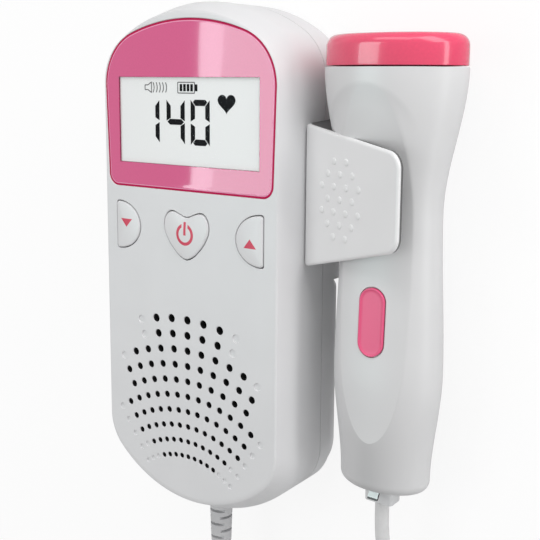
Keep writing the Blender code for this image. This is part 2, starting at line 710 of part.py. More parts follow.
def screw(mesh, place, axis, length):
    """A pan-head screw with its head at the given place and its shank along the axis."""
    add_turned(mesh, place, axis, ((0, SCREW_HEAD_RADIUS), (SCREW_HEAD_HEIGHT, SCREW_HEAD_RADIUS),
                                   (SCREW_HEAD_HEIGHT, SCREW_RADIUS), (length, SCREW_RADIUS)), SCREW_SIDES)


def screw_slots(mesh, place, axis):
    """A cross in a screw's head."""
    turn = Vector((0, 0, 1)).rotation_difference(Vector(axis)).to_matrix().to_4x4()
    half = SCREW_SLOT_WIDTH / 2
    arm = SCREW_HEAD_RADIUS - SCREW_SLOT_WIDTH
    cross = [(arm, half), (half, half), (half, arm), (-half, arm), (-half, half), (-arm, half)]
    cross += flipped(cross)
    where = Matrix.Translation(Vector(place)) @ turn
    add_loft(mesh, [[where @ p for p in at_height(cross, z)] for z in (-OVERRUN, SCREW_SLOT_DEPTH)])


def screws(name, places, axis, length, carrier=None):
    """A group of like screws."""
    for i, place in enumerate(places, 1):
        mesh = bmesh.new()
        screw(mesh, place, axis, length)
        made = finish(mesh, f"{name}_{i}", steel(), carrier)
        slots = bmesh.new()
        screw_slots(slots, place, axis)
        cut(made, slots)


# Window and display

def display_window():
    mesh = bmesh.new()
    low = WINDOW_TOP_Z - WINDOW_THICKNESS
    add_loft(mesh, [at_height(window_outline(0), low), at_height(window_outline(0), WINDOW_TOP_Z)])
    finish(mesh, "display_window", material("clear_window", (0.9, 0.9, 0.9), 0.05, alpha=0.25))


def window_print():
    mesh = bmesh.new()
    low = PRINT_TOP_Z - PRINT_THICKNESS
    add_loft(mesh, [at_height(window_outline(0), low), at_height(window_outline(0), PRINT_TOP_Z)])
    film = finish(mesh, "window_print", pink_print())
    view = bmesh.new()
    add_block(view, (-VIEW_HALF_WIDTH, VIEW_BOTTOM_Y, low - OVERRUN),
              (VIEW_HALF_WIDTH, VIEW_TOP_Y, PRINT_TOP_Z + OVERRUN))
    cut(film, view)


def display_stack():
    """The display cell and the light guide behind it, a step wider than the opening above."""
    half_width = VIEW_HALF_WIDTH + LCD_BORDER
    low_y = VIEW_BOTTOM_Y - LCD_BORDER
    high_y = VIEW_TOP_Y + LCD_BORDER
    for name, top, thickness, look in (
            ("lcd_glass", LCD_TOP_Z, LCD_THICKNESS, material("lcd", (0.80, 0.81, 0.80), 0.30)),
            ("lcd_backlight", BACKLIGHT_TOP_Z, BACKLIGHT_THICKNESS, material("light_guide", (0.85, 0.85, 0.85), 0.40))):
        mesh = bmesh.new()
        add_block(mesh, (-half_width, low_y, top - thickness), (half_width, high_y, top))
        finish(mesh, name, look)


def main_board():
    mesh = bmesh.new()
    high_y = VIEW_TOP_Y + LCD_BORDER
    add_block(mesh, (-BOARD_HALF_WIDTH, BOARD_BOTTOM_Y, BOARD_BOTTOM_Z), (BOARD_HALF_WIDTH, high_y, BOARD_TOP_Z))
    finish(mesh, "main_board", board_green())


# Buttons

def button_centres():
    """Each button's name and the point its stem stands on."""
    side_x = SIDE_BUTTON_EDGE_X - SIDE_BUTTON_WIDTH / 2
    return (("power", 0, HEART_TIP_Y + HEART_HEIGHT / 2), ("down", -side_x, SIDE_BUTTON_Y), ("up", side_x, SIDE_BUTTON_Y))


def button(name, x, y, outline, wide_outline):
    """A capped button with a flange under the face and a stem on its switch's plunger."""
    carrier = axis_empty(f"{name}_button_axis", (x, y, BUTTON_BOTTOM_Z))
    centre = Vector((x, y))

    def drawn(points, share):
        return [tuple(centre + share * (Vector(p) - centre)) for p in points]

    shoulder = FACE_Z + BUTTON_PROUD
    mesh = bmesh.new()
    flange_z = FLANGE_TOP_Z - FLANGE_THICKNESS
    add_loft(mesh, [at_height(wide_outline, flange_z), at_height(wide_outline, FLANGE_TOP_Z),
                    at_height(outline, FLANGE_TOP_Z), at_height(outline, shoulder),
                    at_height(drawn(outline, BUTTON_DOME_SHARE), shoulder + BUTTON_DOME)])
    cap = finish(mesh, f"{name}_button", white_plastic(), carrier)
    stem = bmesh.new()
    add_turned(stem, (x, y, BUTTON_BOTTOM_Z), (0, 0, 1),
               ((0, PLUNGER_RADIUS), (flange_z + OVERLAP - BUTTON_BOTTOM_Z, PLUNGER_RADIUS)), PLUNGER_SIDES)
    join(cap, stem)
    plunger = bmesh.new()
    add_turned(plunger, (x, y, PLUNGER_BOTTOM_Z), (0, 0, 1), ((0, PLUNGER_RADIUS), (PLUNGER_HEIGHT, PLUNGER_RADIUS)),
               PLUNGER_SIDES)
    finish(plunger, f"{name}_plunger", black_plastic(), carrier)


def tact_switches():
    """The three switch bodies, each with the well that its plunger goes down in."""
    for name, x, y in button_centres():
        body = bmesh.new()
        add_block(body, (x - SWITCH_HALF_WIDTH, y - SWITCH_HALF_WIDTH, SWITCH_BOTTOM_Z),
                  (x + SWITCH_HALF_WIDTH, y + SWITCH_HALF_WIDTH, SWITCH_TOP_Z))
        made = finish(body, f"{name}_switch", black_plastic())
        well = bmesh.new()
        floor = PLUNGER_BOTTOM_Z - BUTTON_TRAVEL - GAP
        add_turned(well, (x, y, floor), (0, 0, 1),
                   ((0, PLUNGER_RADIUS + GAP), (SWITCH_TOP_Z + OVERRUN - floor, PLUNGER_RADIUS + GAP)), PLUNGER_SIDES)
        cut(made, well)


def buttons():
    outlines = {"power": heart_outline, "down": lambda grow: side_button_outline(-1, grow),
                "up": lambda grow: side_button_outline(1, grow)}
    for name, x, y in button_centres():
        button(name, x, y, outlines[name](0), outlines[name](FLANGE_WIDTH))


# Speaker

def speaker():
    """Basket, cone and magnet, face up under the grille."""
    top = CEILING_Z - GAP
    inner = SPEAKER_RADIUS - SPEAKER_RIM
    floor = SPEAKER_HEIGHT - SPEAKER_METAL
    basket = bmesh.new()
    add_turned(basket, (0, SPEAKER_Y, top), (0, 0, -1),
               ((floor, SPEAKER_SEAT_RADIUS - SPEAKER_METAL), (2 * SPEAKER_METAL, inner), (0, inner),
                (0, SPEAKER_RADIUS), (2 * SPEAKER_METAL, SPEAKER_RADIUS), (SPEAKER_HEIGHT, SPEAKER_SEAT_RADIUS)),
               ROUND_SIDES)
    finish(basket, "speaker_frame", steel())

    cone = bmesh.new()
    edge = inner - GAP
    neck = SPEAKER_SEAT_RADIUS / 2
    drop = floor - GAP - CONE_THICKNESS
    add_turned(cone, (0, SPEAKER_Y, top), (0, 0, -1),
               ((drop, neck / 2), (drop, neck), (0, edge - CONE_THICKNESS), (0, edge), (CONE_THICKNESS, edge),
                (drop + CONE_THICKNESS, neck + CONE_THICKNESS), (drop + CONE_THICKNESS, neck / 2)), ROUND_SIDES)
    finish(cone, "speaker_cone", material("cone_paper", (0.05, 0.05, 0.05), 0.80))

    magnet = bmesh.new()
    add_turned(magnet, (0, SPEAKER_Y, top - SPEAKER_HEIGHT - GAP), (0, 0, -1),
               ((0, MAGNET_RADIUS), (MAGNET_HEIGHT, MAGNET_RADIUS)), ROUND_SIDES)
    finish(magnet, "speaker_magnet", steel())


# Batteries and their door

def cell_place(index):
    """The middle of a cell and the way its nib points: the two lie head to tail, nib against the bay's end."""
    from_end = BAY_WALL + GAP + CONTACT_THICKNESS + GAP + CELL_NIB_LENGTH + CELL_LENGTH / 2
    if index == 1:
        return (-CELL_X, BAY_END_Y - from_end, CELL_Z), 1
    return (CELL_X, BAY_BOTTOM_Y + from_end - BAY_WALL, CELL_Z), -1


def battery_cells():
    for index in (1, 2):
        middle, nib = cell_place(index)
        half = CELL_LENGTH / 2
        mesh = bmesh.new()
        add_turned(mesh, middle, (0, nib, 0),
                   ((-half, CELL_RADIUS), (half, CELL_RADIUS), (half, CELL_NIB_RADIUS),
                    (half + CELL_NIB_LENGTH, CELL_NIB_RADIUS)), ROUND_SIDES)
        finish(mesh, f"battery_cell_{index}", material("cell_sleeve", (0.10, 0.22, 0.16), 0.35, metallic=0.3))


def battery_contacts():
    """A plate at each end of each cell, with a cone spring on the one at the flat end."""
    high = BAY_END_Y - BAY_WALL - GAP - CONTACT_THICKNESS
    low = BAY_BOTTOM_Y + GAP
    for index in (1, 2):
        (x, _, z), nib = cell_place(index)
        for end, y in (("top", high), ("low", low)):
            mesh = bmesh.new()
            add_block(mesh, (x - CONTACT_HALF_WIDTH, y, z - CONTACT_HALF_WIDTH),
                      (x + CONTACT_HALF_WIDTH, y + CONTACT_THICKNESS, z + CONTACT_HALF_WIDTH))
            plate = finish(mesh, f"battery_contact_{end}_{index}", steel())
            if (end == "low") == (nib > 0):
                spring = bmesh.new()
                add_turned(spring, (x, y + CONTACT_THICKNESS / 2, z), (0, nib, 0), spring_profile(), PLUNGER_SIDES)
                join(plate, spring)


def spring_profile():
    """The cone spring's outline, one rib for each curl, from inside its plate."""
    curl = (SPRING_LENGTH + CONTACT_THICKNESS / 2) / SPRING_CURLS
    profile = []
    for i in range(SPRING_CURLS):
        radius = SPRING_RADIUS * (1 - (1 - SPRING_TIP_SHARE) * i / SPRING_CURLS)
        profile += [(i * curl, radius - SPRING_WIRE), ((i + 0.5) * curl, radius)]
    return profile + [(SPRING_CURLS * curl, SPRING_RADIUS * SPRING_TIP_SHARE)]


def battery_door():
    """A tray that closes the lower back and slides off towards the cord's end, its upper rim low to pass the cells."""
    carrier = axis_empty("battery_door_axis", (0, (DOOR_TOP_Y - UNIT_HALF_LENGTH) / 2, DOOR_FLOOR))
    top_z = DOOR_DEPTH - GAP
    top_y = DOOR_TOP_Y - GAP
    inner_in = DOOR_IN + DOOR_WALL
    mesh = bmesh.new()
    inner = lower_outline(inner_in, top_y - DOOR_WALL, DOOR_CORNER - GAP)
    rings = [at_height(inner, DOOR_FLOOR), at_height(inner, top_z),
             at_height(lower_outline(DOOR_IN, top_y, DOOR_CORNER), top_z),
             at_height(lower_outline(DOOR_IN, top_y, DOOR_CORNER), DOOR_EDGE),
             at_height(lower_outline(DOOR_IN + DOOR_EDGE / 3, top_y - DOOR_EDGE / 6, DOOR_CORNER), DOOR_EDGE / 3),
             at_height(lower_outline(DOOR_IN + DOOR_EDGE, top_y - DOOR_EDGE / 3, DOOR_CORNER), 0)]
    add_loft(mesh, rings)
    door = finish(mesh, "battery_door", white_plastic(), carrier)
    cell_way = bmesh.new()
    add_block(cell_way, (-BAY_HALF_WIDTH, top_y - DOOR_WALL - OVERLAP, CELL_BOTTOM_Z - GAP),
              (BAY_HALF_WIDTH, top_y + OVERRUN, top_z + OVERRUN))
    cut(door, cell_way)
    ribs = bmesh.new()
    for i in range(DOOR_GRIP_RIBS):
        y = DOOR_GRIP_TOP_Y - i * DOOR_GRIP_PITCH
        add_block(ribs, (-DOOR_GRIP_WIDTH / 2, y - DOOR_GRIP_PITCH / 2, -OVERRUN),
                  (DOOR_GRIP_WIDTH / 2, y, DOOR_GRIP_DEPTH))
    cut(door, ribs)


# Probe

def eased(a, b, share):
    """Between two values, level at both ends."""
    return a + (b - a) * share * share * (3 - 2 * share)


def probe_half_width(y):
    """The probe's half-width: head, waist, grip and tail joined by level-ended curves."""
    stations = ((HEAD_Y, HEAD_HALF_WIDTH), (WAIST_Y, WAIST_HALF_WIDTH), (GRIP_Y, GRIP_HALF_WIDTH),
                (TAIL_Y, TAIL_HALF_WIDTH))
    if y >= HEAD_Y:
        return HEAD_HALF_WIDTH
    for (high, a), (low, b) in zip(stations, stations[1:]):
        if y >= low:
            return eased(a, b, (high - y) / (high - low))
    return TAIL_HALF_WIDTH


def probe_flatness(y):
    """Depth over width: a little rounder at the head."""
    share = min(max((y - WAIST_Y) / (HEAD_Y - WAIST_Y), 0), 1)
    return eased(GRIP_FLATNESS_SHARE, HEAD_FLATNESS_SHARE, share)


def oval_half_width(y):
    """Half the width of the flattened oval on the probe's front."""
    middle = (OVAL_TOP_Y + OVAL_BOTTOM_Y) / 2
    half_length = (OVAL_TOP_Y - OVAL_BOTTOM_Y) / 2
    reach = 1 - abs((y - middle) / half_length) ** 3
    return OVAL_HALF_WIDTH * max(reach, 0) ** 0.5


def probe_ring(y, half_width, half_depth, front_oval):
    """An elliptic section whose front is flattened inside the oval."""
    points = []
    flat = half_depth * math.sqrt(max(1 - (front_oval / half_width) ** 2, 0))
    for i in range(PROBE_STEPS):
        angle = 2 * math.pi * i / PROBE_STEPS
        x = half_width * math.cos(angle)
        z = half_depth * math.sin(angle)
        if z > flat:
            z = flat + OVAL_CROWN_SHARE * (z - flat)
        points.append((PROBE_X + x, PROBE_Z + z))
    return along_y(points, y)


def probe_section(y, grow):
    """The probe's ring at one height, grown by a margin or drawn in by a wall."""
    half_width = probe_half_width(y)
    return probe_ring(y, half_width + grow, half_width * probe_flatness(y) + grow, oval_half_width(y))


def probe_levels():
    """Heights of the rings, closer together where the outline bends."""
    spans = ((HEAD_Y, WAIST_Y, 5), (WAIST_Y, GRIP_Y, 3), (GRIP_Y, TAIL_Y, 3))
    levels = [high + (low - high) * i / steps for high, low, steps in spans for i in range(steps)]
    return levels + [TAIL_Y]


def probe_front_z(y, grow):
    """Height of the middle of the probe's flattened front, grown or drawn in."""
    half_width = probe_half_width(y)
    depth = half_width * probe_flatness(y) + grow
    flat = depth * math.sqrt(1 - (oval_half_width(y) / (half_width + grow)) ** 2)
    return PROBE_Z + flat + OVAL_CROWN_SHARE * (depth - flat)


def probe_back_z(y):
    """Height of the middle of the probe's back."""
    return PROBE_Z - probe_half_width(y) * probe_flatness(y)


def probe_hull():
    """The probe's body as one tube with a wall, closed at the tail and open at the head."""
    mesh = bmesh.new()
    end_round = TAIL_Y - PROBE_END_Y
    tail = probe_half_width(TAIL_Y)
    depth = tail * GRIP_FLATNESS_SHARE
    part = end_round * PROBE_END_SHARE
    outer = [probe_section(y, 0) for y in probe_levels()]
    outer += [probe_ring(PROBE_END_Y + part, tail - part, depth - part, 0),
              probe_ring(PROBE_END_Y, tail - end_round, depth - end_round, 0)]
    inner = [probe_section(y, -PROBE_WALL) for y in reversed(probe_levels())]
    inner_end = probe_ring(PROBE_END_Y + PROBE_WALL, tail - PROBE_WALL - part, depth - PROBE_WALL - part, 0)
    add_loft(mesh, [inner_end] + inner + outer)
    return mesh


def half_space(low_z, high_z):
    """A block round the whole probe between two heights."""
    mesh = bmesh.new()
    side = HEAD_HALF_WIDTH + OVERRUN
    add_block(mesh, (PROBE_X - side, PROBE_END_Y - OVERRUN, low_z), (PROBE_X + side, HEAD_Y + OVERRUN, high_z))
    return mesh


def probe_screw_places():
    return [(PROBE_X, y, probe_back_z(y) + SCREW_SINK) for y in (PROBE_SCREW_LOW_Y, PROBE_SCREW_HIGH_Y)]


def badge_ring(grow, lift):
    """The badge's outline laid on the probe's front, grown by a margin and lifted."""
    low = probe_front_z(BADGE_Y - BADGE_HALF_LENGTH, 0)
    high = probe_front_z(BADGE_Y + BADGE_HALF_LENGTH, 0)
    ring = []
    for x, y in capsule_outline(BADGE_HALF_WIDTH + grow, BADGE_HALF_LENGTH + grow, BADGE_STEPS):
        share = (y + BADGE_HALF_LENGTH) / (2 * BADGE_HALF_LENGTH)
        ring.append(Vector((PROBE_X + x, BADGE_Y + y, low + (high - low) * share + lift)))
    return ring


def latch_height(y):
    """How far the latch stands above the plug: from its root at the nose to its free end."""
    share = (LATCH_START_Y - y) / (LATCH_START_Y - LATCH_FREE_Y)
    return LATCH_ROOT + (LATCH_RISE - LATCH_ROOT) * share


def probe_shell(carrier):
    """The probe's front: posts for its screws, a seat for the badge and an opening for the plug."""
    reach = HEAD_HALF_WIDTH + OVERRUN
    shell = finish(probe_hull(), "probe_shell", white_probe(), carrier)
    post = SCREW_RADIUS + GAP + BOSS_WALL
    posts = bmesh.new()
    for x, y, _ in probe_screw_places():
        start = PROBE_PARTING_Z - OVERLAP
        add_turned(posts, (x, y, start), (0, 0, 1),
                   ((0, post), (probe_front_z(y, -PROBE_WALL) + OVERLAP - start, post)), SCREW_SIDES)
    join(shell, posts)
    cut(shell, half_space(PROBE_Z - reach, PROBE_PARTING_Z))
    bores = bmesh.new()
    for x, y, z in probe_screw_places():
        start = PROBE_PARTING_Z - OVERRUN
        add_turned(bores, (x, y, start), (0, 0, 1),
                   ((0, SCREW_RADIUS + GAP), (z + PROBE_SCREW_LENGTH + GAP - start, SCREW_RADIUS + GAP)), SCREW_SIDES)
    cut(shell, bores)
    seat = bmesh.new()
    add_loft(seat, [badge_ring(GAP, -BADGE_SINK - GAP), badge_ring(GAP, OVERRUN)])
    cut(shell, seat)
    mouth = bmesh.new()
    add_block(mouth, (PROBE_X - PLUG_HALF_WIDTH - GAP, PROBE_END_Y - OVERRUN, PLUG_BOTTOM_Z - GAP),
              (PROBE_X + PLUG_HALF_WIDTH + GAP, TAIL_Y, PLUG_TOP_Z + GAP))
    cut(shell, mouth)
    latch_slot = bmesh.new()
    add_block(latch_slot, (PROBE_X - LATCH_HALF_WIDTH - GAP, PROBE_END_Y - OVERRUN, PLUG_TOP_Z),
              (PROBE_X + LATCH_HALF_WIDTH + GAP, TAIL_Y, PLUG_TOP_Z + latch_height(PROBE_END_Y) + GAP))
    cut(shell, latch_slot)


def probe_back_cover(carrier):
    """The probe's back, with counterbored posts."""
    reach = HEAD_HALF_WIDTH + OVERRUN
    cover = finish(probe_hull(), "probe_back_cover", white_probe(), carrier)
    post = SCREW_HEAD_RADIUS + GAP + BOSS_WALL
    posts = bmesh.new()
    for x, y, _ in probe_screw_places():
        start = probe_back_z(y) + PROBE_WALL - OVERLAP
        add_turned(posts, (x, y, start), (0, 0, 1), ((0, post), (PROBE_PARTING_Z - start, post)), SCREW_SIDES)
    join(cover, posts)
    cut(cover, half_space(PROBE_PARTING_Z - GAP, PROBE_Z + reach))
    bores = bmesh.new()
    for x, y, z in probe_screw_places():
        shoulder = z + SCREW_HEAD_HEIGHT + GAP
        profile = ((z - OVERRUN, SCREW_HEAD_RADIUS + GAP), (shoulder, SCREW_HEAD_RADIUS + GAP),
                   (shoulder, SCREW_RADIUS + GAP), (PROBE_PARTING_Z + OVERRUN, SCREW_RADIUS + GAP))
        add_turned(bores, (x, y, 0), (0, 0, 1), profile, SCREW_SIDES)
    cut(cover, bores)


def cap_ring(y, inset):
    return probe_ring(y, HEAD_HALF_WIDTH - CAP_IN - inset, HEAD_HALF_WIDTH * HEAD_FLATNESS_SHARE - CAP_IN - inset, 0)


def transducer_cap(carrier):
    """The glossy cup over the probe's head, and the two half-round elements behind its face."""
    low = HEAD_Y + GAP
    high = low + CAP_HEIGHT
    mesh = bmesh.new()
    rings = [cap_ring(high - CAP_WALL, CAP_WALL + CAP_EDGE / 2), cap_ring(high - CAP_EDGE, CAP_WALL),
             cap_ring(low, CAP_WALL), cap_ring(low, 0)]
    rings += [cap_ring(high - CAP_EDGE * (1 - rise), CAP_EDGE * inset) for rise, inset in CAP_EDGE_SHARES]
    add_loft(mesh, rings)
    finish(mesh, "transducer_cap", pink_gloss(), carrier)

    face = high - CAP_WALL - GAP
    for name, side in (("transducer_front", 1), ("transducer_rear", -1)):
        bow = arc(0, 0, DISC_RADIUS, 0, math.pi, DISC_STEPS)
        ring = [(PROBE_X + x, PROBE_Z + side * (z + DISC_SPLIT / 2)) for x, z in bow]
        half = bmesh.new()
        add_loft(half, [along_y(ring, face - DISC_THICKNESS), along_y(ring, face)])
        finish(half, name, material("ceramic", (0.55, 0.50, 0.42), 0.60), carrier)


def probe_badge(carrier):
    mesh = bmesh.new()
    add_loft(mesh, [badge_ring(0, -BADGE_SINK), badge_ring(0, BADGE_THICKNESS - BADGE_SINK)])
    finish(mesh, "probe_badge", pink_gloss(), carrier)


def probe_plug(carrier):
    """The modular plug with its sprung latch, the socket it sits in, and the board that carries the socket."""
    mesh = bmesh.new()
    add_block(mesh, (PROBE_X - PLUG_HALF_WIDTH, PLUG_END_Y, PLUG_BOTTOM_Z),
              (PROBE_X + PLUG_HALF_WIDTH, PLUG_NOSE_Y, PLUG_TOP_Z))
    plug = finish(mesh, "probe_plug", material("plug_plastic", (0.78, 0.78, 0.78), 0.25), carrier)
    latch = bmesh.new()
    side = [(LATCH_START_Y, PLUG_TOP_Z - OVERLAP), (LATCH_START_Y, PLUG_TOP_Z + LATCH_ROOT),
            (LATCH_FREE_Y, PLUG_TOP_Z + LATCH_RISE), (LATCH_FREE_Y, PLUG_TOP_Z + LATCH_RISE - LATCH_THICKNESS),
            (LATCH_START_Y - 2 * LATCH_THICKNESS, PLUG_TOP_Z - OVERLAP)]
    add_loft(latch, [[Vector((PROBE_X + edge, y, z)) for y, z in side] for edge in (-LATCH_HALF_WIDTH, LATCH_HALF_WIDTH)])
    join(plug, latch)

    room = latch_height(TAIL_Y) + GAP
    jack_side = PLUG_HALF_WIDTH + GAP + JACK_WALL
    jack_bottom = PLUG_BOTTOM_Z - GAP - JACK_WALL
    mesh = bmesh.new()
    add_block(mesh, (PROBE_X - jack_side, TAIL_Y, jack_bottom),
              (PROBE_X + jack_side, TAIL_Y + JACK_LENGTH, PLUG_TOP_Z + room + JACK_WALL))
    jack = finish(mesh, "probe_jack", black_plastic(), carrier)
    hollow = bmesh.new()
    add_block(hollow, (PROBE_X - PLUG_HALF_WIDTH - GAP, TAIL_Y - OVERRUN, PLUG_BOTTOM_Z - GAP),
              (PROBE_X + PLUG_HALF_WIDTH + GAP, PLUG_NOSE_Y + GAP, PLUG_TOP_Z + GAP))
    cut(jack, hollow)
    latch_way = bmesh.new()
    add_block(latch_way, (PROBE_X - LATCH_HALF_WIDTH - GAP, TAIL_Y - OVERRUN, PLUG_TOP_Z),
              (PROBE_X + LATCH_HALF_WIDTH + GAP, PLUG_NOSE_Y, PLUG_TOP_Z + room))
    cut(jack, latch_way)

    board = bmesh.new()
    add_block(board, (PROBE_X - PROBE_BOARD_HALF_WIDTH, TAIL_Y, jack_bottom - GAP - PROBE_BOARD_THICKNESS),
              (PROBE_X + PROBE_BOARD_HALF_WIDTH, TAIL_Y + PROBE_BOARD_LENGTH, jack_bottom - GAP))
    finish(board, "probe_board", board_green(), carrier)


def probe():
    """All of the probe, which slides up out of its clip."""
    carrier = axis_empty("probe_axis", (PROBE_X, 0, PROBE_Z))
    probe_shell(carrier)
    probe_back_cover(carrier)
    transducer_cap(carrier)
    probe_badge(carrier)
    probe_plug(carrier)
    screws("probe_screws", probe_screw_places(), (0, 0, 1), PROBE_SCREW_LENGTH, carrier)


# Clip

def arm_z(x):
    """Height of the front arm's outer plane."""
    share = (x - CLIP_ROOT_X) / (CLIP_FREE_X - CLIP_ROOT_X)
    return CLIP_ROOT_Z + (CLIP_FREE_Z - CLIP_ROOT_Z) * share


def rounded_corner(before, corner, after, radius, steps):
    """Points of the arc that rounds the corner between two straight edges."""
    corner = Vector(corner)
    to_before = (Vector(before) - corner).normalized()
    to_after = (Vector(after) - corner).normalized()
    half = to_before.angle(to_after) / 2
    centre = corner + (to_before + to_after).normalized() * (radius / math.sin(half))
    first = corner + to_before * (radius / math.tan(half)) - centre
    last = corner + to_after * (radius / math.tan(half)) - centre
    sweep = math.pi - 2 * half
    points = []
    for i in range(steps + 1):
        share = i / steps
        offset = (first * math.sin((1 - share) * sweep) + last * math.sin(share * sweep)) / math.sin(sweep)
        points.append(tuple(centre + offset))
    return points


def clip_plan():
    """The clip seen from the front: a straight root on the case, and two rounded free corners."""
    root_low = (CLIP_ROOT_X, CLIP_ROOT_BOTTOM_Y)
    free_low = (CLIP_FREE_X, CLIP_FREE_BOTTOM_Y)
    free_high = (CLIP_FREE_X, CLIP_FREE_TOP_Y)
    root_high = (CLIP_ROOT_X, CLIP_ROOT_TOP_Y)
    return ([root_low] + rounded_corner(root_low, free_low, free_high, CLIP_CORNER, CLIP_STEPS)
            + rounded_corner(free_low, free_high, root_high, CLIP_CORNER, CLIP_STEPS) + [root_high])


def clip_section():
    """The clip seen from its end: a C with its mouth away from the case."""
    rear_face = CLIP_REAR_Z + CLIP_REAR_ARM
    hollow_x = PROBE_X - CLIP_HOLLOW_SHARE * GRIP_HALF_WIDTH
    return [(CLIP_ROOT_X, CLIP_REAR_ROOT_Z), (CLIP_REAR_ROOT_X, CLIP_REAR_Z), (CLIP_REAR_X, CLIP_REAR_Z),
            (CLIP_REAR_X, rear_face), (PROBE_X, rear_face), (PROBE_X, PROBE_Z), (hollow_x, arm_z(hollow_x) - CLIP_ARM),
            (CLIP_FREE_X, CLIP_FREE_Z - CLIP_ARM), (CLIP_FREE_X, CLIP_FREE_Z), (CLIP_ROOT_X, CLIP_ROOT_Z)]


def passage_ring(y):
    """What the probe needs on its way up through the clip at one height."""
    half_width = max(GRIP_HALF_WIDTH, probe_half_width(y))
    depth = max(GRIP_HALF_WIDTH * GRIP_FLATNESS_SHARE, PROBE_Z - probe_back_z(y))
    return probe_ring(y, half_width + CLIP_PLAY, depth + CLIP_PLAY, oval_half_width(y))


def holder_screw_places():
    x = UNIT_HALF_WIDTH - SIDE_WALL - GAP - SCREW_HEAD_HEIGHT
    return [(x, y, PROBE_Z) for y in (HOLDER_SCREW_LOW_Y, HOLDER_SCREW_HIGH_Y)]


def probe_holder():
    low_y = CLIP_ROOT_BOTTOM_Y - OVERRUN
    high_y = CLIP_ROOT_TOP_Y + OVERRUN
    mesh = bmesh.new()
    add_loft(mesh, [along_y(clip_section(), low_y), along_y(clip_section(), high_y)])
    clip = finish(mesh, "probe_holder", white_plastic())
    plan = bmesh.new()
    add_loft(plan, [at_height(clip_plan(), -OVERRUN), at_height(clip_plan(), CLIP_FREE_Z + OVERRUN)])
    combine(clip, plan, "INTERSECT")
    passage = bmesh.new()
    add_loft(passage, [passage_ring(y) for y in probe_levels() if y >= GRIP_Y])
    cut(clip, passage)
    bores = bmesh.new()
    for x, y, z in holder_screw_places():
        add_turned(bores, (CLIP_ROOT_X - OVERRUN, y, z), (1, 0, 0),
                   ((0, SCREW_RADIUS + GAP), (x + HOLDER_SCREW_LENGTH + GAP + OVERRUN - CLIP_ROOT_X, SCREW_RADIUS + GAP)),
                   SCREW_SIDES)
    cut(clip, bores)
    dots = bmesh.new()
    normal = Vector((CLIP_ROOT_Z - CLIP_FREE_Z, 0, CLIP_FREE_X - CLIP_ROOT_X)).normalized()
    for row, count in enumerate(DOT_ROWS):
        y = DOT_CENTRE_Y + ((len(DOT_ROWS) - 1) / 2 - row) * DOT_ROW_PITCH
        for i in range(count):
            x = DOT_CENTRE_X + (i - (count - 1) / 2) * DOT_PITCH
            add_turned(dots, Vector((x, y, arm_z(x))) - OVERLAP * normal, normal,
                       ((0, DOT_RADIUS), (OVERLAP + DOT_HEIGHT, DOT_RADIUS)), DOT_SIDES)
    join(clip, dots)
    screws("holder_screws", holder_screw_places(), (1, 0, 0), HOLDER_SCREW_LENGTH)


# Lead

def cord_boot():
    """The strain relief: a flange inside the case, and a tapered sleeve slotted from alternate sides."""
    wall_bow = BOOT_FLANGE_RADIUS ** 2 / (BOTTOM_CROWN - SIDE_WALL)
    start = -UNIT_HALF_LENGTH + SIDE_WALL + wall_bow + GAP + BOOT_FLANGE
    profile = ((0, BOOT_FLANGE_RADIUS), (BOOT_FLANGE, BOOT_FLANGE_RADIUS), (BOOT_FLANGE, BOOT_RADIUS),
               (start + UNIT_HALF_LENGTH, BOOT_RADIUS), (start - BOOT_END_Y, BOOT_TIP_RADIUS))
    mesh = bmesh.new()
    add_turned(mesh, (0, start, BOOT_Z), (0, -1, 0), profile, BOOT_SIDES)
    boot = finish(mesh, "cord_boot", material("boot_rubber", (0.62, 0.62, 0.63), 0.60))
    slots = bmesh.new()
    reach = BOOT_RADIUS + OVERRUN
    for level in range(SLOT_LEVELS):
        high = -UNIT_HALF_LENGTH - SLOT_FIRST - level * SLOT_PITCH
        low = high - SLOT_WIDTH
        for near, far in ((SLOT_CORE, reach), (-reach, -SLOT_CORE)):
            if level % 2:
                add_block(slots, (-reach, low, BOOT_Z + near), (reach, high, BOOT_Z + far))
            else:
                add_block(slots, (near, low, BOOT_Z - reach), (far, high, BOOT_Z + reach))
    cut(boot, slots)


def smooth_route(points, tangents, step):
    """Even points along Hermite curves through the route's points, with a straight run at each end."""
    route = [Vector(p) for p in points]
    first, last = (Vector(t).normalized() for t in tangents)
    heads = [route[0] + first * CORD_DIAMETER] + route[1:-1] + [route[-1] - last * CORD_DIAMETER]
    slopes = [first] + [(after - before).normalized() for before, after in zip(heads, heads[2:])] + [last]
    dense = [heads[0]]
    for a, b, leave, arrive in zip(heads, heads[1:], slopes, slopes[1:]):
        reach = (b - a).length
        for i in range(1, 41):
            t = i / 40
            dense.append((2 * t ** 3 - 3 * t ** 2 + 1) * a + (t ** 3 - 2 * t ** 2 + t) * reach * leave
                         + (3 * t ** 2 - 2 * t ** 3) * b + (t ** 3 - t ** 2) * reach * arrive)
    length = sum((q - p).length for p, q in zip(dense, dense[1:]))
    count = max(round(length / step), 2)
    even = [dense[0]]
    walked = 0
    for p, q in zip(dense, dense[1:]):
        walked += (q - p).length
        if walked >= len(even) * length / count and len(even) < count:
            even.append(q)
    return [route[0]] + even + [heads[-1], route[-1]]


def coil_radius(turn):
    """The spiral's radius after a number of turns: in for half of them, then out again."""
    middle = COIL_TURNS / 2
    return COIL_RADIUS - COIL_PITCH * (middle - abs(turn - middle))


